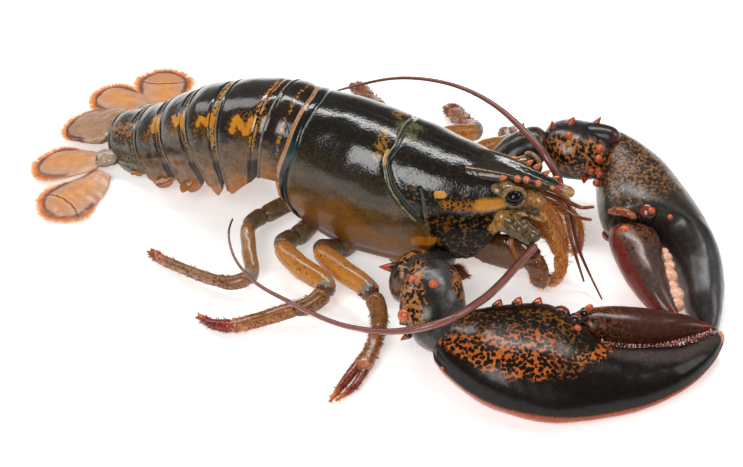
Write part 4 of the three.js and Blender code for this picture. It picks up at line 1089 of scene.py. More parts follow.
def fringeOf(part, rows, seed):
    # hairs all along the blade's outline from start to its end, pointing outwards
    reach, number, start = fan["fringe"][part]
    rng = np.random.default_rng(seed)
    rod = rodGrid(rows, rings=160, count=96, power=2.3, caps=12, swell=bladeRound(part))
    points, across, t = rod["points"], rod["across"][0], rod["t"][:, 0]
    left, right = points[:, np.argmin(across)], points[:, np.argmax(across)]
    outline = np.concatenate([left, right[::-1]])
    level = np.concatenate([t, t[::-1]])
    outline = outline[level > start]
    run = runOf(outline)
    at = np.sort(rng.uniform(0, run[-1], number))

    def outlineAt(at):
        return np.stack([np.interp(at, run, outline[:, i]) for i in range(3)], -1)

    root = outlineAt(at)
    ahead, behind = (outlineAt(np.clip(at + gap, 0, run[-1])) for gap in (0.8, -0.8))
    heading = unit(ahead - behind)
    centre = outline.mean(0)
    outwards = np.cross(heading, [0, 0, 1])
    outwards *= np.sign(((root - centre) * outwards).sum(-1, keepdims=True))
    outwards = unit(outwards + 0.2 * rng.normal(size=outwards.shape) * [1, 1, 0.3])
    root = root - outwards * 0.4 + rng.normal(size=root.shape) * [0, 0, 0.2]
    fade = smooth(0, 14, at) * smooth(0, 14, run[-1] - at)
    lengths = reach * rng.uniform(0.5, 1.1, number) * (0.25 + 0.75 * fade)
    return hairsOf(root, outwards, lengths, 0.12)


bladeLook = {
    "ground": ("#c08c6c", "#d0a080"),
    "cloud": 5,
    "layers": [
        layer("core", ("#d48c4a", "#de9e60"), (0.3, 0.9), ragged=0.4, grain=8, share=0.8),
        layer("ribs", ("#9c6a48", "#a8765a"), (0.6, 1.3), ragged=0.5, grain=3, share=0.25),
        layer("beyond", ("#c88a58", "#bd8460"), ragged=0.2, grain=3, share=0.5),
        layer("seam", ("#5c2a1c", "#7a3c24"), (0.4, 0.7), ragged=0.3, grain=1),
        layer("edge", ("#4e3a3c", "#66504e"), (0.35, 1.0), ragged=0.2, share=0.85),
        layer("rim", ("#cc6c2c", "#dc8440"), (0.3, 0.7), ragged=0.2),
    ],
    "relief": 0.15,
    "roughness": 0.38,
    "coat": 0.45,
    "coatRoughness": 0.24,
    "water": 0.92,
}
bladeFinish = wetShell("tanFanBlade", bladeLook)
telsonFinish = wetShell("telsonShell", {
    "ground": ("#a07a5e", "#b88f70"),
    "cloud": 5,
    "layers": [
        layer("down", ("#4e4032", "#6e5c48"), (0.75, 1.2), ragged=0.9, grain=2.4, speckle=0.7),
        layer("ribs", ("#7c5c44", "#8c6a50"), (0.6, 1.3), ragged=0.5, grain=3, share=0.35),
        layer("edge", ("#5c3c30", "#7a5040"), (0.25, 0.75), ragged=0.2),
    ],
    "relief": 0.12,
    "coat": 0.6,
    "coatRoughness": 0.2,
    "water": 0.92,
})
fringeFinish = hairFinish("orangeFringe", "#ea742a", "#ffca80")
footFinish = wetShell("greyFootShell", {
    "ground": ("#a08870", "#c4ac90"),
    "cloud": 1.8,
    "layers": [
        layer("spot", ("#1c1814", "#3a3026"), (0.4, 0.8), ragged=0.8),
        layer("side", ("#6a543c", "#80684c"), (0.4, 0.8), ragged=0.8),
    ],
    "relief": 0.3,
})

fringes = []
telsonRows = fanRows("telson", 1)
telsonSurface = bladeSurface("telson", telsonRows, 50, fan["telsonRibs"])
telsonSurface["marks"]["down"] = 1 - telsonSurface["marks"]["t"] * 1.3
makePiece("telson_plate", telsonSurface, telsonFinish, "fan_tan", "telson")
fringes.append(fringeOf("telson", telsonRows, 60))
for label, sign in sides.items():
    for part, suture in fan["suture"].items():
        rows = fanRows(part, sign)
        seed = 51 + 2 * (sign > 0) + (part == "outer")
        surface = bladeSurface(part, rows, seed, fan["ribs"], suture)
        makePiece(f"fan_{part}_blade_{label}", surface, bladeFinish, "fan_tan", f"fan_{part}_{label}")
        fringes.append(fringeOf(part, rows, seed + 10))
    foot = rodGrid(fanRows("foot", sign), rings=30, count=40, caps=8)
    across, rise = foot["across"], foot["rise"]
    points = raised(foot["points"], 0.25 * ripple(foot["points"], 4, 70))
    marks = {
        "spot": bump(foot["t"], 0.86, 0.10) * bump(across, 0.3 * sign, 0.4) * (rise > 0),
        "side": smooth(0.3, -0.3, rise),
    }
    makePiece(f"fan_foot_shell_{label}", surfaceOf(points, marks), footFinish, "shell_olive",
              f"fan_foot_{label}")
makePiece("fan_fringe", joined(fringes), fringeFinish, "fan_tan")
print("tail fan made")


# Legs: each is split at its joints into segments that flare where the next one plugs in

legs = {
    "rows": {
        "leg2_right": [
            (50, -9, 6, 4.2, 4.2), (54, -18, 5.5, 4, 4), (62, -23, 4.6, 3.2, 3.2), (72, -20, 4.2, 3, 3),
            (81, -16, 3.4, 2.4, 2.4), (88, -13.5, 2, 1.2, 1.4),
        ],
        "leg3_right": [
            (32, -11, 7, 4.5, 4.5), (29, -24, 7.5, 4.6, 4.8), (23.5, -37.5, 15.5, 4.6, 4.6),
            (38.5, -49, 17.5, 4.8, 5.4), (56.5, -58, 17, 4.4, 5), (63.5, -65, 13, 4.2, 4.6),
            (67, -78, 8, 3.4, 3.8), (67, -93, 6, 3.9, 3.6), (65, -104, 4.2, 3.8, 3),
            (61.5, -115, 2.4, 1.8, 1.6),
        ],
        "leg4_right": [
            (9, -11, 9, 4.5, 4.5), (7, -25, 10, 4.8, 5), (4.5, -40.5, 14.5, 4.5, 4.5),
            (17.5, -51.5, 15.5, 4.9, 5.4), (35.5, -61, 14, 4.4, 4.8), (31, -69, 10, 3.8, 4.2),
            (23, -74, 8, 3.4, 3.8), (11, -83, 5.6, 3.4, 3.4), (0, -90, 4.2, 3.2, 3),
            (-9, -90.5, 2.8, 2.4, 2.2), (-18, -87.5, 1.8, 1, 1.2),
        ],
        "leg5_right": [
            (-3, -10, 16, 4.2, 4.2), (-10, -21, 15.5, 4.4, 4.4), (-15, -35, 16.5, 3.7, 3.8),
            (-9, -49, 14, 3.6, 4), (-3, -62, 10, 3.5, 3.8), (-10, -67, 8, 3.2, 3.4),
            (-18, -67, 6.8, 2.8, 3), (-35, -64, 5, 2.5, 2.7), (-51, -60, 3.6, 2.3, 2.4),
            (-59, -56, 2, 0.9, 1.1),
        ],
        "leg2_left": [
            (56, 11, 8, 4.5, 4.5), (60, 24, 10, 4.8, 4.8), (64, 38, 20, 4, 4.4), (72, 53, 24, 3.8, 4.4),
            (79, 66, 20, 3.6, 4), (76, 80, 11, 3.2, 3.4), (72, 92, 4.5, 2.8, 3), (70, 101, 2, 1.2, 1.4),
        ],
        "leg3_left": [
            (32, 11, 7, 4.5, 4.5), (34, 26, 9.5, 4.8, 5), (38, 42, 19, 4.2, 4.4), (50, 58, 22, 4, 4.8),
            (61, 72, 18, 3.8, 4.4), (53, 84, 11, 4.4, 4), (43, 96, 6, 4.4, 3.4), (34, 106, 3, 1.4, 1.6),
        ],
        "leg4_left": [
            (9, 11, 9, 4.5, 4.5), (8, 27, 12, 4.8, 5), (8, 44, 19, 4.2, 4.2), (12, 62, 20, 4, 4.6),
            (8, 76, 14, 3.8, 4.2), (-4, 90, 7.5, 3.4, 3.6), (-13, 99, 5, 3.8, 3.2), (-19, 104, 3, 1.8, 1.6),
        ],
        "leg5_left": [
            (-3, 10, 16, 4.2, 4.2), (-8, 22, 16, 4.4, 4.4), (-10, 36, 18, 3.7, 3.8), (-2, 50, 15, 3.5, 3.8),
            (-10, 60, 10, 3.1, 3.4), (-24, 65, 6, 2.6, 2.8), (-36, 67, 3.6, 2.2, 2.4),
            (-45, 66, 2, 0.9, 1.1),
        ],
    },
    # joints as row numbers: coxa, ischium, merus, carpus, propodus, tip
    "joints": {
        "leg2_right": [0, 1.2, 2.2, 3.2, 4.2, 5],
        "leg3_right": [0, 1.2, 2.1, 4.2, 5.6, 7.15, 9],
        "leg4_right": [0, 1.3, 2.1, 4.15, 5.7, 7.95, 10],
        "leg5_right": [0, 1.3, 2.1, 4.15, 5.9, 8.1, 9],
        "leg2_left": [0, 1.2, 2.1, 4.1, 5.1, 6.3, 7],
        "leg3_left": [0, 1.2, 2.1, 4.1, 5.0, 6.3, 7],
        "leg4_left": [0, 1.2, 2.1, 4.0, 5.0, 6.2, 7],
        "leg5_left": [0, 1.2, 2.1, 3.2, 4.2, 6.2, 7],
    },
    "overlap": 1.6,
    "pincers": ("leg2_right", "leg3_right", "leg2_left", "leg3_left"),
    # hairs on the last three segments: number, length, radius
    "bristles": (340, 2.1, 0.16),
    "kneeSpines": [
        (58.5, -57.5, 20.6, 0.8, 0, 0.6, 1, 3), (38, -60.5, 17.4, 0.8, 0, 0.6, 1, 3),
        (53, -62, 18, -0.4, -0.7, 0.5, 0.9, 2), (-1, -61, 13, 0.6, -0.3, 0.7, 0.8, 1.8),
    ],
}


def segmentSwell(t):
    # a little slim at the root, and 0.08 wider in a ring just before the far end
    return 0.95 + 0.05 * smooth(0, 0.2, t) + 0.08 * bump(t, 0.93, 0.05)


def pincerGrids(rows, start):
    # two fingers side by side from start to the leg's end: the lower one longer and stouter
    run = runOf(rows)
    at = np.array([start - 0.06, (start + 1) / 2, 1]) * run[-1]
    way = curveAt(run, rows, at, 3)[:, :3]
    heading = unit(way[-1] - way[0])
    across = unit(np.cross(heading, [0, 0, 1]))
    grids = []
    for side, reach, stout in ((1, 1.0, 1.15), (-1, -0.8, 0.9)):
        offset = across * side
        path = way + np.outer([1.5, 2.5, 1], offset)
        path[2] += heading * reach
        path[:, 2] = np.maximum(path[:, 2], [2.2, 1.9, 1.2])
        sizes = np.array([[2.3, 2.3], [1.75, 1.9], [0.5, 0.6]]) * stout
        grids.append(rodGrid(np.hstack([path, sizes]), rings=24, count=20, caps=5))
    return grids


def legSurface(name):
    # separate segments end to end, each swelling at its far end where the next one plugs in, and
    # two fingers or a pointed toe at the end
    rows = np.array(legs["rows"][name], float)
    run = runOf(rows)
    stops = np.interp(legs["joints"][name], np.arange(len(rows)), run) / run[-1]
    slack = legs["overlap"] / run[-1]
    seed = seedOf(name)
    number, length, radius = legs["bristles"]
    segments, hairs = [], []
    names = ["root", "root", "merus", "carpus", "propodus", "toe"][6 - (len(stops) - 1):]
    for i, (start, end) in enumerate(zip(stops[:-1], stops[1:])):
        size = (end - start) * run[-1]
        kind = names[i]
        if kind == "toe" and name in legs["pincers"]:
            grids = pincerGrids(rows, start)
        else:
            grids = [rodGrid(rows, rings=max(16, int(size * 1.1)), count=28, power=2.3,
                             span=(max(start - slack, 0), min(end + slack, 1)), swell=segmentSwell, caps=6)]
        for rod in grids:
            height = 0.05 * ripple(rod["points"], 5, seed + i) + 0.03 * ripple(rod["points"], 1.6, seed)
            points = raised(rod["points"], height)
            marks = {
                "joint": np.maximum(smooth(0.86, 0.95, rod["t"]), smooth(0.10, 0.03, rod["t"])),
                "shine": smooth(0.74, 0.9, rod["t"]) if kind == "merus" else 0 * rod["t"],
                "rise": 0.5 + 0.5 * rod["rise"],
                "edges": smooth(0.5, 1, rod["t"]) if kind == "propodus" else 0 * rod["t"],
                kind: np.ones(rod["t"].shape),
                "end": smooth(0.45, 1, rod["t"]) if kind == "toe" else 0 * rod["t"],
            }
            segments.append(surfaceOf(points, marks))
            if kind in ("carpus", "propodus", "toe"):
                share = number // 5 if kind == "carpus" else number // 2 // len(grids)
                toward = unit(points[-1].mean(0) - points[0].mean(0)) * 0.9
                span = (0.45, 0.98) if kind == "carpus" else (0.12, 0.98)
                hairs.append(bristlesOf(rod, seed + 9 + i, share, length, span, (0, 0.25, 0.75, 1), toward,
                                        radius=radius))
    return joined(segments), joined(hairs)


def legLook(merus, carpus, propodus, toe):
    return {
        "ground": ("#5e5038", "#857357"),
        "cloud": 3,
        "layers": [
            layer("merus", merus, ragged=0.1, spots=("#5a3414", 1.8, 0.14, 0.3, 0.5)),
            layer("carpus", carpus, ragged=0.1, spots=("#3a2412", 1.4, 0.24, 0.42, 0.6)),
            layer("propodus", propodus, ragged=0.1, spots=("#4a2a14", 1.3, 0.22, 0.42, 0.7)),
            layer("rise", ("#5a3418", "#80522a"), (0.72, 1.0), ragged=0.5, grain=3, share=0.6),
            layer("shine", ("#5f5e54", "#8f8c80"), (0.3, 0.9), ragged=0.4, grain=3, share=0.8),
            layer("joint", ("#3a2016", "#5e3826"), (0.4, 0.8), ragged=0.6, share=0.9),
            layer("edges", ("#a04a2c", "#c08460"), (0.5, 0.95), ragged=1.8, grain=1.4),
            layer("toe", toe, ragged=0.1, spots=("#3c1410", 1.5, 0.3, 0.5, 0.7)),
            layer("end", ("#d87c2c", "#c8582c"), (0.5, 0.95), grain=1.6),
        ],
        "relief": 0.5,
        "roughness": 0.34,
        "coat": 0.6,
        "coatRoughness": 0.16,
        "water": 0.95,
    }


legFinish = wetShell("amberLegShell", legLook(
    ("#bc7428", "#d08c40"), ("#7c5028", "#946434"), ("#965a2c", "#b47a4a"), ("#9a3a24", "#7c2c20")))
greyLegFinish = wetShell("greyLegShell", legLook(
    ("#94663e", "#b08258"), ("#8a5c40", "#a47654"), ("#946c50", "#b08a6c"), ("#d47c30", "#c0602c")))
brownPincerFinish = wetShell("brownPincerShell", legLook(
    ("#bc7428", "#d08c40"), ("#7c5028", "#946434"), ("#8a5c34", "#a87a50"), ("#8a6040", "#6a482c")))
bristleFinish = hairFinish("legBristles", "#3a2018", "#b0603c")
legHairs = []
for name in legs["rows"]:
    surface, hairs = legSurface(name)
    legHairs.append(hairs)
    finish = {"2": brownPincerFinish, "5": greyLegFinish}.get(name[3], legFinish)
    makePiece(f"{name}_shell", surface, finish, "leg_amber", name)
makePiece("leg_bristles", joined(legHairs), bristleFinish, "leg_amber")
makePiece("knee_spines", spinesOfRows(legs["kneeSpines"]), spineFinish, "leg_amber")
print("walking legs made")


# Claw arms

arms = {
    "merus_right": [
        (78, -12, 14, 6, 6), (77, -22, 15, 6.5, 6.5), (73, -34, 19, 7.2, 8.5), (71, -45, 23, 7, 10.5),
        (71.5, -54, 23.5, 7, 12), (74.5, -60, 22.5, 6, 9),
    ],
    "carpus_right": [
        (82, -44, 30, 7, 6.5), (83.5, -50, 30, 11.8, 10.5), (86, -56.5, 28.5, 14, 12.5),
        (89, -64.5, 24.5, 15, 13.5), (92, -71, 18, 15.2, 12.5), (90, -76.5, 10.5, 11.5, 8.5),
    ],
    "merus_left": [
        (76, 12, 14, 6, 6), (77, 24, 18, 6.5, 6.5), (84, 36, 26, 8, 8.5), (93, 45, 33, 9.5, 10.5),
        (101, 50, 36, 9.5, 11), (106, 52, 36, 6.5, 8),
    ],
    "carpus_left": [
        (102, 49.5, 34, 8, 9), (108, 52, 35, 13, 12.5), (117, 56, 35, 15.5, 13.5),
        (127, 61, 33, 14.5, 12.5), (135, 65.5, 31, 10, 9),
    ],
}
# coloured fields as chains of points, in mm along the arm and round it, where armGirth is the distance
# from its back to its side, each with a radius
armGirth = 15
armPatches = {
    "merus_right": [([(30, 0), (45, 4)], 6)],
    "carpus_right": [([(8, 10), (24, 9), (34, 10)], 7.5), ([(10, -12), (19, -13)], 4.5)],
    "merus_left": [([(14, 9), (34, 10)], 7)],
    "carpus_left": [([(6, 10), (16, 13), (22, 14)], 8.5)],
}
armSpines = {
    "merus_right": [(65.5, -50, 28.7, -1, 0, -0.25, 2.8, 8.5)],
    "carpus_right": [
        (79.5, -68, 21, -1, -0.4, 0.1, 2.6, 4.5), (81, -73, 12.5, -0.7, -0.5, -0.6, 2, 4.5),
        (99, -78, 22, 0.4, -0.9, 0.1, 2.6, 2.5),
    ],
    "merus_left": [(93.5, 46, 43, -0.1, 0.3, 1, 2.4, 7.5)],
    "carpus_left": [
        (106.5, 53, 46, -0.2, 0.1, 1, 2, 5.2), (113, 58, 47, 0.4, 0.2, 1, 2.8, 5.5),
        (124, 65, 45.5, 0.5, 0.3, 1, 1.9, 5.4), (126, 45.4, 29, 0.2, -0.8, -0.6, 2.4, 4),
    ],
}
armKnobs = {
    "carpus_right": [
        (79.1, -63.2, 37.3, -0.5, -0.4, 0.77, 2, 2.2), (88.9, -63.6, 37.5, 0.1, -0.24, 0.97, 2.6, 2.8),
        (80, -76, 27, -0.68, -0.6, 0.4, 3.2, 3), (89, -79, 25.5, 0, -0.6, 0.8, 2, 1.6),
    ],
    "carpus_left": [
        (115.5, 49.6, 47.2, 0, -0.5, 0.87, 2.2, 2.6), (130.5, 51, 42.8, 0.53, -0.3, 0.8, 2.3, 2.6),
        (131.2, 48, 39.5, 0.5, -0.7, 0.5, 2, 2.2), (128.8, 45, 33.4, 0.43, -0.89, 0.1, 1.7, 2),
        (131.8, 46.8, 33.2, 0.59, -0.8, 0.1, 1.9, 2.2), (132.8, 42.4, 29, -0.6, -0.7, 0.4, 1.9, 2),
    ],
}
lobe = [
    (116, 59.5, 40.5, 7, 6), (124, 61, 42, 6.6, 6), (131, 61.8, 42.8, 5.6, 5.4), (138, 61.5, 42, 4.4, 4.6),
]


def armSurface(name):
    # rod with low swellings, its coloured fields as soft patches on the unrolled side
    rod = rodGrid(arms[name], rings=80, count=76, power=2.1, caps=10)
    seed = seedOf(name)
    height = 0.28 * ripple(rod["points"], 16, seed) + 0.05 * ripple(rod["points"], 5, seed + 1)
    points = raised(rod["points"], height * rod["full"])
    across, rise = rod["across"], rod["rise"]
    fields = [blot(rod["along"], across * armGirth, line, radius) for line, radius in armPatches[name]]
    groove = bump(across, 0.1, 0.35) * smooth(0.5, 0.7, rod["t"]) * (rise < 0.9)
    marks = {
        "field": np.maximum.reduce(fields) * smooth(-0.6, -0.1, rise),
        "groove": groove * (name == "merus_right"),
        # painted reflection: a grey sheen over the upper half of one side of the arm
        "grey": smooth(0.3, -0.4, across) * smooth(0, 0.6, rise),
        "end": smooth(0.84, 0.95, rod["t"]) + smooth(-0.35, -0.75, rise),
    }
    return surfaceOf(points, marks)


armLook = {
    "ground": ("#13110f", "#2c2620"),
    "cloud": 1.4,
    "layers": [
        # painted reflection of the white surroundings as a grey sheen
        layer("grey", ("#383639", "#5c5654"), (0.4, 1.0), ragged=0.5, grain=6, share=0.75),
        layer("field", ("#965c2a", "#c47e48"), (0.45, 0.75), ragged=1.1, grain=3, speckle=0.8,
              spots=("#120e0a", 1.9, 0.46, 0.60, 0.6)),
        layer("groove", ("#4a1410", "#2a1a14"), (0.4, 0.8), ragged=0.4, grain=3),
        layer("end", ("#4a3020", "#7c5440"), (0.5, 0.9), ragged=0.8, grain=3),
    ],
    "relief": 0.6,
    "coat": 0.7,
    "coatRoughness": 0.24,
}
armFinish = wetShell("mottledArmShell", armLook)
knobFinish = wetShell("orangeKnob", {
    "ground": ("#b0441c", "#d06a38"),
    "cloud": 1.5,
    "relief": 0.1,
    "water": 0.95,
    "coatRoughness": 0.15,
})
lobeFinish = wetShell("smoothDarkLobe", {
    "coatRoughness": 0.3,
    "ground": ("#15120f", "#231d1a"),
    "layers": [layer("t", ("#4a1c16", "#5c241a"), (0.7, 0.95), ragged=0.3, grain=3)],
    "relief": 0.3,
})
for name in arms:
    makePiece(f"{name}_shell", armSurface(name), armFinish, "claw_dark", name)
    makePiece(f"{name}_spines", spinesOfRows(armSpines[name], blunt=(1.1, 0.8)), spineFinish, "claw_dark")
    if name in armKnobs:
        makePiece(f"{name}_knobs", knobsOfRows(armKnobs[name]), knobFinish, "claw_dark")
rod = rodGrid(lobe, rings=40, count=40, caps=10)
makePiece("carpus_left_lobe_shell", surfaceOf(rod["points"], {"t": rod["t"]}), lobeFinish, "claw_dark")
print("claw arms made")


# Claws, each in its own flat frame: base, direction to the tip and roll.
# Row: outer edge x and y, inner edge x and y, half thickness

claws = {
    "right": {
        "base": (92, -74, 17.5), "tip": (214, -17, 11.5), "roll": 12,
        "palm": [
            (0, -12, 1, 0, 6), (5, -19.5, 8, 6.5, 10.5), (14, -29, 19, 10.5, 13.5),
            (27, -37.5, 31, 13.5, 15.5), (42, -43, 44, 14.5, 16), (56, -45, 55, 13.5, 15.5),
            (66, -44.5, 62, 9.5, 14.5), (74, -43.2, 67, 3, 13.5), (82, -41.5, 73, -5, 12.5),
            (92, -38.5, 84, -9, 11), (104, -32.5, 98, -9, 9.2), (116, -24.5, 111, -7, 7.2),
            (125, -16, 121, -3.5, 5.2), (130.5, -7.5, 128, -0.5, 3.4), (133, -1, 131.5, 2, 1.5),
        ],
        "finger": [
            (62, 8.5, 67, -1, 4.5), (68, 11.5, 73, -3.5, 8), (78, 13, 82, -5.5, 8.8),
            (90, 13, 93, -6.5, 8.4), (102, 12, 103, -6, 7.4), (113, 9.6, 112, -4, 6),
            (122, 6.4, 120, -1.6, 4.4), (128, 3.2, 127, 0.8, 2.6), (130.5, 2.4, 130, 1.6, 1),
        ],
        "spines": [(30, 10.2, 6.4), (39, 11.4, 6.4), (48, 11.2, 6.4)],
        "spineSize": (2.7, 4.3),
        "knobs": [
            (153.5, -54.3, 25.8, 0.1, -0.2, 1, 1.8, 2), (153.8, -39.2, 24.4, 0.5, 0.3, 0.9, 1.7, 3.4),
            (103.4, -89.2, 14.6, -0.48, -0.8, 0.35, 1, 1),
        ],
        "darkKnobs": [
            (143.5, -45.6, 23.4, 0.18, 0.3, 0.9, 4.2, 4), (150.5, -46, 23, 0.3, 0.3, 0.9, 3.4, 3),
            (153, -39.8, 22.6, 0.4, 0.3, 0.9, 2.8, 2.4),
        ],
        # lower and upper limit in y of the mottled field, and where it ends
        "field": (
            [(0, -8), (6, -14), (17, -24), (37, -32), (54, -32), (71, -28), (80, -20), (92, -10)],
            [(0, 2), (15, 6), (30, 5), (45, 6), (60, 4), (75, 0), (92, -4)], (76, 54),
        ),
        # orange splash at the end of the field, and how far the red rim, a painted reflection of the white
        # table below, climbs towards the finger
        "splash": [(62, -23), (71, -20), (77, -13)],
        "rimRise": 0.12,
        # middle line of the greyer band below the teeth, in x and y
        "sheen": [(60, -17), (95, -18), (110, -16), (120, -10), (133, 0)],
    },
    "left": {
        "base": (129, 70, 31), "tip": (206.3, -9.5, 7), "roll": -12,
        "palm": [
            (-5, 1, -4, -6, 8), (3, 9, 6, -9.5, 12.5), (14, 16, 18, -14, 15.5), (28, 21.5, 30, -19, 17.5),
            (42, 24, 41, -23, 18), (54, 24.5, 48, -23, 17.5), (64, 24, 53, -14, 16.5),
            (73, 22.5, 60, -3, 15.5), (84, 19.5, 74, 0, 14), (96, 14.5, 88, -3, 12),
            (106, 8, 101, -7.5, 9.5), (112, 4.2, 109, -8.5, 7.5), (117.6, -0.6, 115, -9, 5),
            (120.4, -5.6, 118.8, -8.5, 2.2),
        ],
        "finger": [
            (50, -24, 54, -12, 5.5), (57, -27.5, 60, -4, 9), (66, -28.5, 68, -5.5, 10),
            (76, -29, 78, -9, 9.4), (86, -28.5, 87, -12, 8.2), (94, -27, 95, -14, 6.8),
            (101, -24.5, 101.5, -15.2, 5), (106, -21.5, 106.5, -16, 3.4), (109, -19.3, 109, -16.5, 1.4),
        ],
        "spines": [(8, -10.5, 7), (15.5, -14.5, 7), (23.5, -18.5, 7)],
        "spineSize": (1.7, 2.6),
        "knobs": [
            (155, 13.6, 29.6, -0.2, -0.15, 0.97, 2.6, 2.2), (172.7, 28.1, 31.6, 0.38, -0.8, 0.4, 1.4, 1.2),
            (164.3, 24.8, 35.4, 0.6, -0.8, 0.3, 1.8, 2),
        ],
        "darkKnobs": [
            (161.8, 27, 32, -0.1, -0.6, 0.75, 5.2, 4.4), (145.5, 24, 15, -0.5, -0.7, -0.2, 3.4, 3),
        ],
        "field": (
            [(-6, -12), (10, -16), (30, -22), (60, -22)], [(-6, 6), (10, 13), (30, 18), (60, 18)], (66, 34),
        ),
        "splash": [(8, -8), (14, -10)],
        "rimRise": -0.25,
        "sheen": [(0, 10), (50, 16), (100, 6), (120, -6)],
        "membrane": [
            (143.5, 28, 21, 1.6, 2), (145, 24.5, 28, 1.9, 2.2), (148.5, 22, 32.4, 2, 2.2),
            (153.5, 20.2, 34.4, 1.9, 2), (159, 19, 33.6, 1.5, 1.6),
        ],
        # rounded molars on the finger: x, y, z, radius, height
        "molars": [
            (71, -6, 2.5, 2.4, 2.8), (75, -7.2, 3.2, 3.1, 3.4), (80, -9.2, 3, 3.2, 4.2),
            (85.5, -11, 3, 4.4, 4.2), (91, -12.4, 2.5, 3.2, 3.4), (96, -13.6, 2.8, 4.2, 4.6),
            (100.6, -14.8, 2, 3.4, 3.8),
        ],
    },
}


def clawAxes(claw):
    # base, and the axes: x to the tip, y level and then rolled about x, z across both
    base = np.array(claw["base"], float)
    x = unit(np.array(claw["tip"], float) - base)
    flat = unit(np.cross([0, 0, 1], x))
    roll = math.radians(claw["roll"])
    y = flat * math.cos(roll) + np.cross(x, flat) * math.sin(roll)
    return base, np.stack([x, y, np.cross(x, y)])


def clawPlace(claw, local):
    # base + local x, y, z along the claw's axes
    base, axes = clawAxes(claw)
    return base + np.asarray(local, float) @ axes


# stations along, points round and power of the superellipse
clawGrids = {"palm": (190, 122, 2.1), "finger": (120, 84, 2.2)}


def clawGrid(claw, part, caps=14):
    # between an outer and an inner edge curve in the claw's flat frame: a superellipse across at
    # each station, whose half thickness is the row's, closed at both ends in a quarter circle
    rows = np.asarray(claw[part], float)
    rings, count, power = clawGrids[part]
    run = runOf(rows, 4)
    along, share = stationsOf(run[-1], rings, 3, 3, caps)
    row = curveAt(run, rows, along, 4)
    outer, inner = row[:, :2], row[:, 2:4]
    across = unit(outer - inner)
    half = np.linalg.norm(outer - inner, axis=1) / 2 * share
    angle = turnsOf(count)
    a, b = superellipse(angle, power)
    flat = ((outer + inner) / 2)[:, None] + across[:, None] * (a * half[:, None])[..., None]
    local = np.concatenate([flat, (b * (row[:, 4] * share)[:, None])[..., None]], -1)
    return {
        "local": local,
        "angle": np.repeat(angle[None], len(along), 0),
        "full": roundGrid(share, count),
        "t": roundGrid(along / run[-1], count),
    }


def palmSurface(label):
    # claw grid with slow swellings and a keel along its outer edge
    claw = claws[label]
    grid = clawGrid(claw, "palm")
    local = grid["local"]
    x, y, z = local[..., 0], local[..., 1], local[..., 2]
    edge, rise = superellipse(grid["angle"], 2)
    height = 0.32 * ripple(local, 30, 80) + 0.05 * ripple(local, 8, 81)
    height += 0.6 * bump(grid["angle"], 0.0, 0.16) + 0.6 * bump(grid["angle"], 2 * math.pi, 0.16)
    points = raised(clawPlace(claw, local), height * grid["full"])
    lower, upper, (end, fade) = claw["field"]
    inside = smooth(-4, 3, y - keyed(lower, x)) * smooth(3, -3, y - keyed(upper, x))
    inside *= smooth(end + 4, fade, x) * smooth(-5, 2, x) * smooth(-4, 2, z)
    marks = {
        "field": inside,
        "warmField": inside * (smooth(0, -14, y) * smooth(66, 44, x) if label == "right" else 0),
        "splash": blot(x, y, claw["splash"], 4.5) * (z > 0),
        # painted reflection: red rim along the underside, where the white table below shows in the wet shell
        "under": smooth(0.17, -0.17, rise - claw["rimRise"] * smooth(0.2, 0.42, grid["t"])),
        "low": smooth(0.15, -0.4, rise) * smooth(0.2, 0.9, edge),
        "tipward": smooth(0.96, 0.985, grid["t"]),
        "sheen": bump(y, keyed(claw["sheen"], x), 4.5) * smooth(66, 84, x) * (z > 0),
    }
    return surfaceOf(points, marks)


def inwardTeeth(claw, part, xs, radius, heights, level):
    # small teeth along an inner edge, pointing at the other finger
    rows = np.array(claw[part], float)
    order = np.argsort(rows[:, 2])
    y = np.interp(xs, rows[order, 2], rows[order, 3])
    toward = 1 if part == "palm" else -1
    feet = clawPlace(claw, np.stack([xs, y - toward * 0.5, 0 * xs + level], -1))
    axes = clawAxes(claw)[1]
    direction = axes[1] * toward + axes[2] * 0.35
    return cones(feet, np.repeat(direction[None], len(xs), 0), radius * heights ** 0.5, heights, 10, 7,
                 blunt=(1.2, 0.85))


def molarSurface(claw):
    # rounded molars: half balls that stand inwards and up from the finger's edge
    axes = clawAxes(claw)[1]
    rows = np.array(claw["molars"])
    toward = np.repeat((axes[1] + axes[2] * 0.9)[None], len(rows), 0)
    return cones(clawPlace(claw, rows[:, :3]), toward, rows[:, 3], rows[:, 4], 20, 12, blunt=halfBall)


def fingerSurface(label):
    # claw grid with slow swellings
    claw = claws[label]
    grid = clawGrid(claw, "finger")
    local = grid["local"]
    edge, rise = superellipse(grid["angle"], 2)
    height = 0.2 * ripple(local, 20, 90) + 0.04 * ripple(local, 6, 91)
    points = raised(clawPlace(claw, local), height * grid["full"])
    # painted highlight: a pinkish streak along the top of the far finger
    streak = bump(edge, 0.42, 0.22) * smooth(0, 0.15, grid["t"]) * smooth(0.8, 0.4, grid["t"])
    marks = {
        "outerEdge": smooth(0.35, 0.95, edge) if label == "right" else smooth(0.66, 0.96, edge),
        # painted reflection: red along the underside, where the white table below shows in the wet shell
        "under": smooth(0.0, -0.35, rise),
        "tipward": smooth(0.75, 0.98, grid["t"]),
        "mottle": smooth(0.55, 0.1, grid["t"]) * 0.45 + 0.3,
        # painted sheen: the far finger's upper half greyer over its grey-brown
        "grey": smooth(-0.2, 0.2, rise) * (label == "left"),
        "streak": streak * (rise > 0) * (label == "left"),
    }
    return surfaceOf(points, marks)


def clawSpineRows(label):
    # the palm's spines, all of one size and leaning one way, out from its inner edge
    claw = claws[label]
    spots = np.array(claw["spines"], float)
    direction = np.array([0.55, 1 if label == "right" else -1, 0.75]) @ clawAxes(claw)[1]
    same = np.concatenate([direction, claw["spineSize"]])
    return np.hstack([clawPlace(claw, spots), np.repeat(same[None], len(spots), 0)])


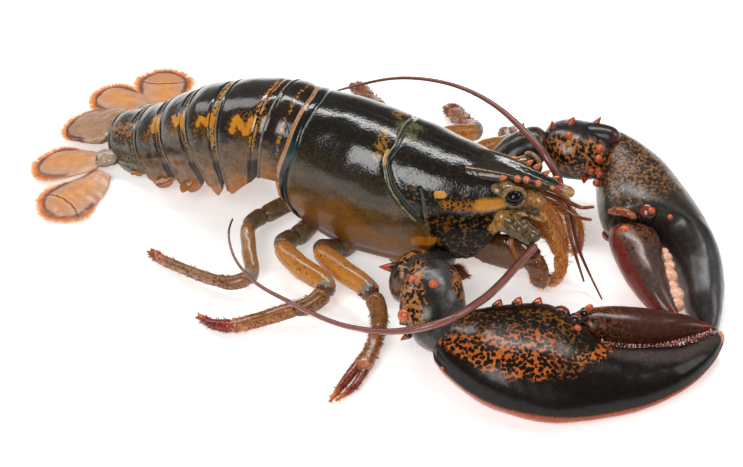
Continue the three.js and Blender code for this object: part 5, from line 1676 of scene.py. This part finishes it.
palmLook = {
    "ground": ("#0e0a08", "#1f1611"),
    "cloud": 1.6,
    "layers": [
        layer("low", ("#2c1410", "#3c1a12"), (0.2, 1.0), ragged=0.3, grain=5, share=0.7),
        layer("sheen", ("#4c423e", "#645853"), (0.1, 1.0), ragged=0.3, grain=8, share=0.7),
        # painted reflection of the white table below, as a red rim along the underside
        layer("under", ("#9c4026", "#bc5c38"), (0.3, 0.7), ragged=0.2, grain=5),
        layer("field", ("#5c3a16", "#8a5620"), (0.4, 0.8), ragged=1.2, grain=4, speckle=0.6,
              spots=("#100d0a", 1.7, 0.55, 0.70, 0.6)),
        layer("warmField", ("#a84e1a", "#c8702c"), (0.4, 0.8), ragged=1.2, grain=4, speckle=0.6,
              spots=("#100d0a", 1.8, 0.50, 0.63, 0.5)),
        layer("splash", ("#a8561c", "#c8702c"), (0.5, 0.8), ragged=1.6,
              spots=("#100d0a", 1.6, 0.46, 0.60, 0.5)),
        layer("tipward", ("#c8804c", "#e0a878"), (0.4, 0.8), ragged=0.2, grain=3),
    ],
    "relief": 0.45,
    "coat": 0.28,
    "coatRoughness": 0.16,
}
farPalmLook = {
    "ground": ("#1a1714", "#342c26"),
    "cloud": 1.6,
    "layers": [
        layer("sheen", ("#38383b", "#545255"), (0.1, 1.0), ragged=0.3, grain=8, share=0.7),
        layer("low", ("#1c1a1a", "#2c2828"), (0.2, 1.0), ragged=0.3, grain=5, share=0.6),
        # painted reflection of the white table below, as a red rim along the underside
        layer("under", ("#8a4630", "#9c563c"), (0.35, 0.75), ragged=0.2, grain=5),
        layer("field", ("#7c583a", "#a0703c"), (0.45, 0.95), ragged=1.3, grain=1.8, speckle=1.0,
              spots=("#211913", 1.4, 0.46, 0.66, 0.8)),
        layer("splash", ("#90501c", "#ac6430"), (0.4, 0.8), ragged=1.4,
              spots=("#17120e", 1.5, 0.44, 0.6, 0.7)),
        layer("tipward", ("#50484a", "#6a605e"), (0.4, 0.8), ragged=0.2, grain=3),
    ],
    "relief": 0.6,
    "coat": 0.9,
    "coatRoughness": 0.3,
}
fingerLook = {
    "ground": ("#3a1b13", "#522a1c"),
    "cloud": 2,
    "layers": [
        # painted sheen greying the far finger's upper half
        layer("grey", ("#44302a", "#5e463e"), (0.4, 0.7), ragged=0.5, grain=5),
        layer("mottle", ("#824a22", "#6c3a1e"), (0.45, 0.75), ragged=1.2, grain=1.8, speckle=0.8,
              spots=("#1a100c", 1.5, 0.40, 0.56, 0.8)),
        layer("outerEdge", ("#6e2c24", "#84382c"), (0.4, 0.95), ragged=0.3, grain=6),
        # painted highlight: pinkish streak along the far finger's top
        layer("streak", ("#84625a", "#a07c72"), (0.4, 0.9), ragged=0.4, grain=4, share=0.6),
        layer("tipward", ("#6b2418", "#842c1e"), (0.3, 0.9), ragged=0.2, grain=4),
        # painted reflection of the white table below, as red along the underside
        layer("under", ("#9a4426", "#b0562f"), (0.45, 0.65), ragged=0.2, grain=5),
    ],
    "relief": 0.4,
    "coat": 0.6,
    "coatRoughness": 0.2,
}
palmFinish = wetShell("wetClawShell", palmLook)
farPalmFinish = wetShell("wetStoutClawShell", farPalmLook)
fingerFinish = wetShell("wetFingerShell", fingerLook)
toothFinish = wetShell("claspTooth", {
    "ground": ("#5c1c14", "#7a2c1c"),
    # pale cream tips of the teeth, brightened into painted glints
    "layers": [layer("tip", ("#c06c48", "#f4e0cc"), (0.52, 0.88), ragged=0.9, grain=4, speckle=0.2)],
    "relief": 0.1,
    "water": 1,
})
molarFinish = wetShell("creamMolar", {
    "ground": ("#d89470", "#f0c4a8"),
    "cloud": 2.5,
    "relief": 0.15,
    "roughness": 0.4,
    "water": 1,
})
darkKnobFinish = wetShell("darkHingeKnob", {
    "ground": ("#14120f", "#2c2822"),
    "cloud": 2,
    "layers": [layer("tip", ("#7a2c1c", "#a04a30"), (0.7, 0.95), ragged=0.6, grain=3)],
    "relief": 0.3,
})
membraneFinish = wetShell("orangeHingeSkin", {
    "ground": ("#6e3618", "#a45c30"),
    "cloud": 2,
    "relief": 0.4,
    "water": 1,
})
for label in sides:
    claw = claws[label]
    finish = palmFinish if label == "right" else farPalmFinish
    makePiece(f"palm_{label}_shell", palmSurface(label), finish, "claw_dark", f"palm_{label}")
    makePiece(f"finger_{label}_shell", fingerSurface(label), fingerFinish, "claw_dark", f"finger_{label}")
    spines = spinesOfRows(clawSpineRows(label), blunt=(1.5, 0.75))
    makePiece(f"palm_{label}_spines", spines, spineFinish, "claw_dark")
    makePiece(f"palm_{label}_knobs", knobsOfRows(claw["knobs"]), knobFinish, "claw_dark")
    makePiece(f"palm_{label}_dark_knobs", knobsOfRows(claw["darkKnobs"]), darkKnobFinish, "claw_dark")

# small teeth on both sides of the slim claw's gap: first and last x and number of them, radius, least
# and greatest height, and level above the middle of the edge
claspTeeth = {
    "palm": {"row": (76, 126, 30), "radius": 0.75, "heights": (0.8, 2.8), "level": 2.0},
    "finger": {"row": (70, 127, 34), "radius": 0.7, "heights": (0.7, 2.4), "level": 1.0},
}
rng = np.random.default_rng(17)
right, left = claws["right"], claws["left"]
places = [np.linspace(*t["row"]) + rng.uniform(-0.5, 0.5, t["row"][2]) for t in claspTeeth.values()]
teeth = []
for xs, (part, t) in zip(places, claspTeeth.items()):
    heights = rng.uniform(*t["heights"], len(xs))
    teeth.append(inwardTeeth(right, part, xs, t["radius"], heights, t["level"]))
makePiece("clasp_teeth", joined(teeth), toothFinish, "claw_dark")
makePiece("crusher_molars", molarSurface(left), molarFinish, "claw_dark")
rod = rodGrid(left["membrane"], rings=40, count=20, caps=6)
height = 0.12 * np.cos(rod["along"] * 2.4) * rod["full"]
makePiece("palm_left_membrane", surfaceOf(raised(rod["points"], height)), membraneFinish, "claw_dark")
print("claws made")


# Head parts

head = {
    "eye": (108.8, 13.5, 56),
    "eyeRadius": 4.1,
    "stalk": [(99.8, 5.5, 55, 3.2, 3.2), (104.8, 10, 56, 4, 4), (108, 12.96, 56, 4.6, 4.6)],
    "feelerBase": [
        (99, 11.5, 42, 5, 5.4), (106, 13, 41, 5.2, 5.8), (112, 13.8, 39, 4.6, 5),
        (117, 14.6, 36.8, 3.8, 4.2), (121.5, 15.2, 35, 3.2, 3.4),
    ],
    "baseSpines": [
        (116, 9, 43.5, 1, 0.1, -0.1, 1.5, 7), (107.5, 16.5, 43.5, 0.8, 0.4, -0.5, 1.3, 5.5),
        (110.5, 11, 45, 1, 0.1, 0.1, 1.8, 5),
    ],
    "baseKnobs": [(119.5, 15, 37.5, 0.4, 0.3, 0.8, 3.4, 3.4), (113, 16.5, 41, 0, 0.5, 0.8, 2.6, 2)],
    "stems": [(106, 5.4, 51.5, 4, 3.6), (114, 5, 50.8, 3.8, 3.6), (122, 4, 49.4, 2.8, 2.8)],
    "scales": {
        "right": [
            (113, -6, 50, 2.4, 2), (120.6, -4, 47.5, 3.2, 2.4), (125.6, -4.5, 43, 3.2, 2.6),
            (129, -5, 37, 2.6, 2.2), (132, -5.5, 30, 1.8, 1.6), (133.5, -6, 25.5, 1, 1),
        ],
        "left": [
            (116, 7, 45, 3, 2.2), (125, 6.5, 41, 3.4, 2.6), (130, 7, 37.5, 2.6, 2.4), (133.3, 8, 33, 2, 2),
            (135.4, 8, 27.5, 1.7, 1.7), (136.2, 8, 21.7, 1.7, 1.6), (135.6, 7, 16.5, 1.8, 1.5),
            (133.6, 6, 14.5, 1.2, 1.1),
        ],
    },
    "jawLegs": {
        "right": [
            (88, -11, 17.5, 3.4, 4), (97, -12, 20, 4, 8.5), (108, -12.5, 21.5, 4, 9.5),
            (116, -13, 24.5, 4, 6.5), (121, -13.5, 19, 3.8, 5), (123.6, -13.5, 12, 3.5, 4.8),
            (123.6, -13.5, 6, 2.4, 4),
        ],
        "left": [
            (88, 11, 17.5, 3.4, 4), (97, 12, 20, 4, 8.5), (108, 10, 21.5, 4, 8.5), (117, 6, 25, 3.8, 5.4),
            (124, 2, 24, 3.4, 3.6), (129, -1, 18, 3.2, 3.2), (130.6, -3.5, 10, 3, 3),
            (128.5, -5.5, 4.2, 2.4, 2.4), (125.5, -6.5, 1.8, 1.2, 1.2),
        ],
    },
    "jawSeams": {"right": (0.5, 0.67, 0.84), "left": (0.42, 0.56, 0.72, 0.86)},
    # radius and thickness of the lid round the eye
    "lid": (4.7, 1.15),
    "feelers": {
        "right": [
            (121.5, -17, 34, 2, 2), (118.5, -31, 34, 1.9, 1.9), (115.5, -51, 36, 1.9, 1.9),
            (112, -69, 40, 1.8, 1.8), (101.5, -89.5, 42, 1.7, 1.7), (85.6, -95.8, 37, 1.5, 1.5),
            (61.8, -94.8, 30, 1.2, 1.2), (28.4, -84.8, 24.5, 1, 1), (3.3, -73.7, 21.5, 0.8, 0.8),
            (-11, -62.3, 23, 0.6, 0.6), (-17.9, -49.4, 27, 0.5, 0.5), (-17.7, -46.4, 29, 0.4, 0.4),
        ],
        "left": [
            (122, 16.5, 37, 2, 2), (121, 17, 46, 1.9, 1.9), (113.5, 20, 55, 1.8, 1.8),
            (96.5, 31.5, 60, 1.5, 1.5), (77.5, 42.2, 62, 1.2, 1.2), (54, 51.1, 60, 1, 1),
            (27.3, 53, 55, 0.8, 0.8), (2.2, 49.4, 45, 0.6, 0.6), (-6, 49.6, 40, 0.4, 0.4),
        ],
    },
    "antennules": {
        "right": [
            [(118, -1.6, 51, 1.6, 1.6), (126.5, -1.6, 49.2, 1.5, 1.5), (131, -2, 46.6, 1.4, 1.4)],
            [(130, -2, 46.8, 1.1, 1.1), (136.4, -3.4, 45, 0.9, 0.9), (143.6, -5, 46.7, 0.7, 0.7)],
            [(130, -2, 46.2, 1.1, 1.1), (135.5, -5.6, 31, 0.9, 0.9), (143.3, -7, 10.1, 0.5, 0.5)],
        ],
        "left": [
            [(118, 2.6, 51, 1.6, 1.6), (126.5, 2.6, 49.2, 1.5, 1.5), (131, 3, 46.6, 1.4, 1.4)],
            [(130, 3, 46.8, 1.1, 1.1), (136, 3.6, 45, 0.9, 0.9), (142, 4, 47, 0.7, 0.7)],
            [(130, 3, 46.2, 1.1, 1.1), (138, 2, 19, 0.8, 0.8), (144.2, 0, 8.9, 0.6, 0.6),
             (153, -8, 2.9, 0.4, 0.4)],
        ],
    },
    "front": [
        (92, 0, 48, 15, 9), (102, 0, 47, 13, 9), (110, 0, 45.5, 10, 8.5), (117, 0, 45, 6, 6),
        (121, 0, 45, 4, 4),
    ],
}


def plainRod(rows, seed, rings, count, rough=0.08, power=2, up=(0, 0, 1), seams=()):
    # rod with low swellings, nipped in at its seams
    rod = rodGrid(rows, rings=rings, count=count, power=power, up=up, caps=6)
    height = rough * ripple(rod["points"], 3, seed) * rod["full"]
    seam = sum(bump(rod["t"], place, 0.015) for place in seams) + 0 * rod["t"]
    points = raised(rod["points"], height - 0.7 * seam * rod["full"])
    return surfaceOf(points, {"t": rod["t"], "across": rod["across"], "seam": 1.6 * seam})


def feelerSurface(rows):
    # hundreds of short rings, each a little wider at its far end
    length = runOf(rows)[-1]
    rod = rodGrid(rows, rings=int(length * 2.6), count=10, caps=4)
    step = (rod["along"] / 1.3) % 1
    points = raised(rod["points"], 0.07 * step * rod["full"])
    return surfaceOf(points, {"across": 0.5 + 0.5 * rod["across"]})


# smooth brown-black cornea under water
eyeFinish = newFinish("wetEye", Base_Color=linear("#120c08"), Roughness=0.12, Specular_IOR_Level=0.3)[0]
headLook = {
    "ground": ("#5a4222", "#a8804c"),
    "cloud": 1.0,
    "layers": [
        layer("t", ("#241c10", "#5a441f"), (0.3, 1.0), ragged=2.4, grain=1.6, speckle=0.8, share=0.8),
    ],
    "relief": 0.5,
}
headFinish = wetShell("mottledHeadShell", headLook)
lidFinish = wetShell("tanEyeLid", {"ground": ("#5a4426", "#b08c5c"), "cloud": 1, "relief": 0.7})
stemFinish = wetShell("tanStem", {"ground": ("#865626", "#cc9450"), "cloud": 1.4, "relief": 0.7})
tanSpineFinish = wetShell("tanHeadSpine", {
    "ground": ("#5a4426", "#8a6a40"),
    "layers": [layer("tip", ("#b8864c", "#dcb480"), (0.2, 0.6), ragged=0.2)],
    "relief": 0.2,
})
greyKnobFinish = wetShell("greyBaseKnob", {"ground": ("#40341f", "#7a6746"), "cloud": 1.6, "relief": 0.4})
baseFinish = wetShell("feelerBaseShell", {
    "ground": ("#b07428", "#c89048"),
    "cloud": 1.6,
    "layers": [layer("t", ("#35280f", "#86693f"), (0.18, 0.42), ragged=0.9, grain=2.0)],
    "relief": 0.5,
})
jawFinish = wetShell("brownJawShell", {
    "ground": ("#2a1a0e", "#543418"),
    "cloud": 1.6,
    "layers": [
        layer("seam", ("#b8682c", "#d08440"), (0.3, 0.7), ragged=0.6),
        layer("t", ("#7a5040", "#8c5c3c"), (0.5, 0.7), ragged=0.5, grain=3, share=0.75),
        layer("across", ("#7a4418", "#94581f"), (0.3, 1.2), ragged=1.4, grain=2.6, share=0.5),
    ],
    "relief": 0.4,
})
goldFinish = wetShell("goldenJawShell", {
    "ground": ("#a05622", "#dc9446"),
    "cloud": 1.2,
    "relief": 0.4,
    "water": 1,
})
scaleFinish = wetShell("redBrownScale", {
    "ground": ("#94481c", "#c87634"),
    "cloud": 1.4,
    "layers": [layer("t", ("#c84a1c", "#e07a34"), (0.75, 0.95), ragged=0.3)],
    "relief": 0.4,
})
beardFinish = hairFinish("goldenBeard", "#b8661e", "#ffb85c")
antennuleFinish = wetShell("orangeBrownAntennule", {
    "ground": ("#6a3218", "#8c4c24"),
    "cloud": 3,
    "relief": 0.1,
})
feelerFinish = wetShell("redFeeler", {
    "ground": ("#7a463e", "#8a564c"), "cloud": 6, "relief": 0.05, "water": 0.95,
    "layers": [layer("across", ("#4c2824", "#5a3430"), (0.3, 0.65), ragged=0.1, grain=8)],
})


def turnedRound(sign, spin, reach, height):
    # solid of revolution about the eye's own axis: reach away from the axis, height along it
    axis = unit(np.array([0.5, sign, 0.1]))
    side = unit(np.cross(axis, [0, 0, 1]))
    outwards = np.cos(spin)[..., None] * side + np.sin(spin)[..., None] * np.cross(side, axis)
    return np.array(head["eye"]) * [1, sign, 1] + outwards * reach[..., None] + axis * height[..., None]


def eyeSurface(sign):
    # ball: reach r * sin(turn), height r * cos(turn), from pole to pole
    turn, spin = np.meshgrid(np.linspace(0.05, math.pi - 0.05, 30), turnsOf(40), indexing="ij")
    radius = head["eyeRadius"]
    return surfaceOf(turnedRound(sign, spin, radius * np.sin(turn), radius * np.cos(turn)))


def lidSurface(sign):
    # thick ring: reach R + r * cos(turn), height r * sin(turn), closed on itself
    spin, turn = np.meshgrid(np.linspace(0, 2 * math.pi, 50), turnsOf(16), indexing="ij")
    radius, thick = head["lid"]
    points = turnedRound(sign, spin, radius + thick * np.cos(turn), thick * np.sin(turn))
    return surfaceOf(points, poles=False)


def mirrored(rows, sign):
    # the same rows for the other side of the animal: y, and y of any direction, turned over
    rows = np.array(rows, float)
    rows[:, 1] *= sign
    if rows.shape[1] == 8:
        rows[:, 4] *= sign
    return rows


# beard hairs: rows, up, number, length, span, angles in half turns, toward
beards = [
    (head["jawLegs"]["left"], (0.3, 0, 1), 520, 4.2, (0.4, 1), (0.25, 0.5, 0.75), (-0.9, -0.3, -0.3)),
    (head["jawLegs"]["right"], (0.3, 0, 1), 160, 2.2, (0.55, 1), (0.25, 0.75, 1.25, 1.75), (0, 0, -0.3)),
    (head["scales"]["right"], (0.4, 0, 1), 420, 4.6, (0.2, 1), (0, 0.5, 1, 1.5), (0.1, 0, -1.2)),
    (head["scales"]["left"], (0.4, 0, 1), 360, 3.0, (0.2, 1), (0, 0.5, 1, 1.5), (-0.8, 0, -0.3)),
]
for label, sign in sides.items():
    makePiece(f"eye_{label}_ball", eyeSurface(sign), eyeFinish, "eye_black", f"eye_{label}")
    makePiece(f"eye_lid_{label}", lidSurface(sign), lidFinish, "shell_olive")
    stalk = plainRod(mirrored(head["stalk"], sign), seed=100, rings=24, count=40)
    makePiece(f"eye_stalk_{label}", stalk, headFinish, "shell_olive")
    base = plainRod(mirrored(head["feelerBase"], sign), seed=101, rings=50, count=50, rough=0.15, power=2.5)
    makePiece(f"antenna_base_{label}_shell", base, baseFinish, "shell_olive", f"antenna_base_{label}")
    spines = spinesOfRows(mirrored(head["baseSpines"], sign))
    makePiece(f"antenna_base_{label}_spines", spines, tanSpineFinish, "shell_olive")
    knobs = knobsOfRows(mirrored(head["baseKnobs"], sign))
    makePiece(f"antenna_base_{label}_knobs", knobs, greyKnobFinish, "shell_olive")
    stem = plainRod(mirrored(head["stems"], sign), seed=106, rings=40, count=36, rough=0.2)
    makePiece(f"antennule_{label}_stem_shell", stem, stemFinish, "shell_olive")
    whip = feelerSurface(head["feelers"][label])
    makePiece(f"antenna_{label}_whip", whip, feelerFinish, "feeler_red", f"antenna_{label}")
    scale = plainRod(head["scales"][label], seed=102, rings=50, count=24, rough=0.1, up=(0.4, 0, 1))
    makePiece(f"antenna_scale_{label}_blade", scale, scaleFinish, "soft_tan", f"antenna_scale_{label}")
    jaw = plainRod(head["jawLegs"][label], seed=103, rings=160, count=36, rough=0.12, power=2.6,
                   up=(0.3, 0, 1), seams=head["jawSeams"][label])
    finish = jawFinish if label == "right" else goldFinish
    makePiece(f"jaw_leg_{label}_shell", jaw, finish, "soft_tan", f"jaw_leg_{label}")
    rods = [plainRod(rows, seed=104, rings=40, count=12, rough=0.02) for rows in head["antennules"][label]]
    makePiece(f"antennule_{label}_rods", joined(rods), antennuleFinish, "feeler_red", f"antennule_{label}")
beard = []
for i, (rows, up, number, length, span, angles, toward) in enumerate(beards):
    rod = rodGrid(rows, rings=60, up=up)
    beard.append(bristlesOf(rod, 120 + i, number, length, span, angles, toward, spread=0.35, radius=0.16))
makePiece("mouth_beard", joined(beard), beardFinish, "soft_tan")
front = plainRod(head["front"], seed=105, rings=50, count=60, rough=0.3)
makePiece("head_front", front, headFinish, "shell_olive")
print("head parts made")


# Breast plate and swimmerets

breast = {"stations": (0, 18, 36, 54, 72, 86, 95), "depth": 6.5, "clearance": 1.3}
swimmerets = {
    # y of the abdomen's middle at each pair, and the right blade's rows
    "middle": (3, 5.5, 8, 10.5),
    "rows": [
        [(-29, -13, 33, 2.6, 2.6), (-36, -17, 27, 4.5, 1.4), (-43, -20, 21.5, 3.4, 1.2)],
        [(-47, -12, 25.5, 2.6, 2.4), (-53, -17, 19.5, 4.8, 1.4), (-59, -21, 14, 3.6, 1.2)],
        [(-62, -8, 17.5, 2.4, 2.2), (-69, -12, 12.5, 4.6, 1.4), (-76, -15.5, 9, 3.4, 1.1)],
        [(-80, -3, 10, 2.2, 1.8), (-87, -6, 7, 3.6, 1.2), (-94, -8, 5, 2.6, 1)],
    ],
}


def breastRows():
    # bar down the middle, a clearance narrower and lower than the carapace's recess
    x = np.array(breast["stations"], float)
    depth, share = carapace["recess"]
    half = keyed(carapace["half"], x) * share - breast["clearance"]
    z = keyed(carapace["low"], x) + depth - breast["clearance"] - breast["depth"]
    return np.stack([x, 0 * x, z, half, 0 * x + breast["depth"]], -1)


softFinish = wetShell("softTanSkin", {"ground": ("#a05c28", "#c07c40"), "cloud": 2.5, "relief": 0.2})
plate = plainRod(breastRows(), seed=110, rings=60, count=60, rough=0.5, power=2.8)
makePiece("breast_plate", plate, softFinish, "soft_tan", "thorax_underside")
for i, (middle, rows) in enumerate(zip(swimmerets["middle"], swimmerets["rows"])):
    for label, sign in sides.items():
        placed = rows if sign < 0 else [(x, 2 * middle - y, z, a, b) for x, y, z, a, b in rows]
        blade = plainRod(placed, seed=111, rings=30, count=30, rough=0.1)
        name = f"swimmeret_{i + 2}_{label}"
        makePiece(f"{name}_blade", blade, softFinish, "soft_tan", name)
print("underside made")

total = sum(trianglesMade.values())
print("triangles:", total, "largest:", max(trianglesMade.items(), key=lambda item: item[1]))
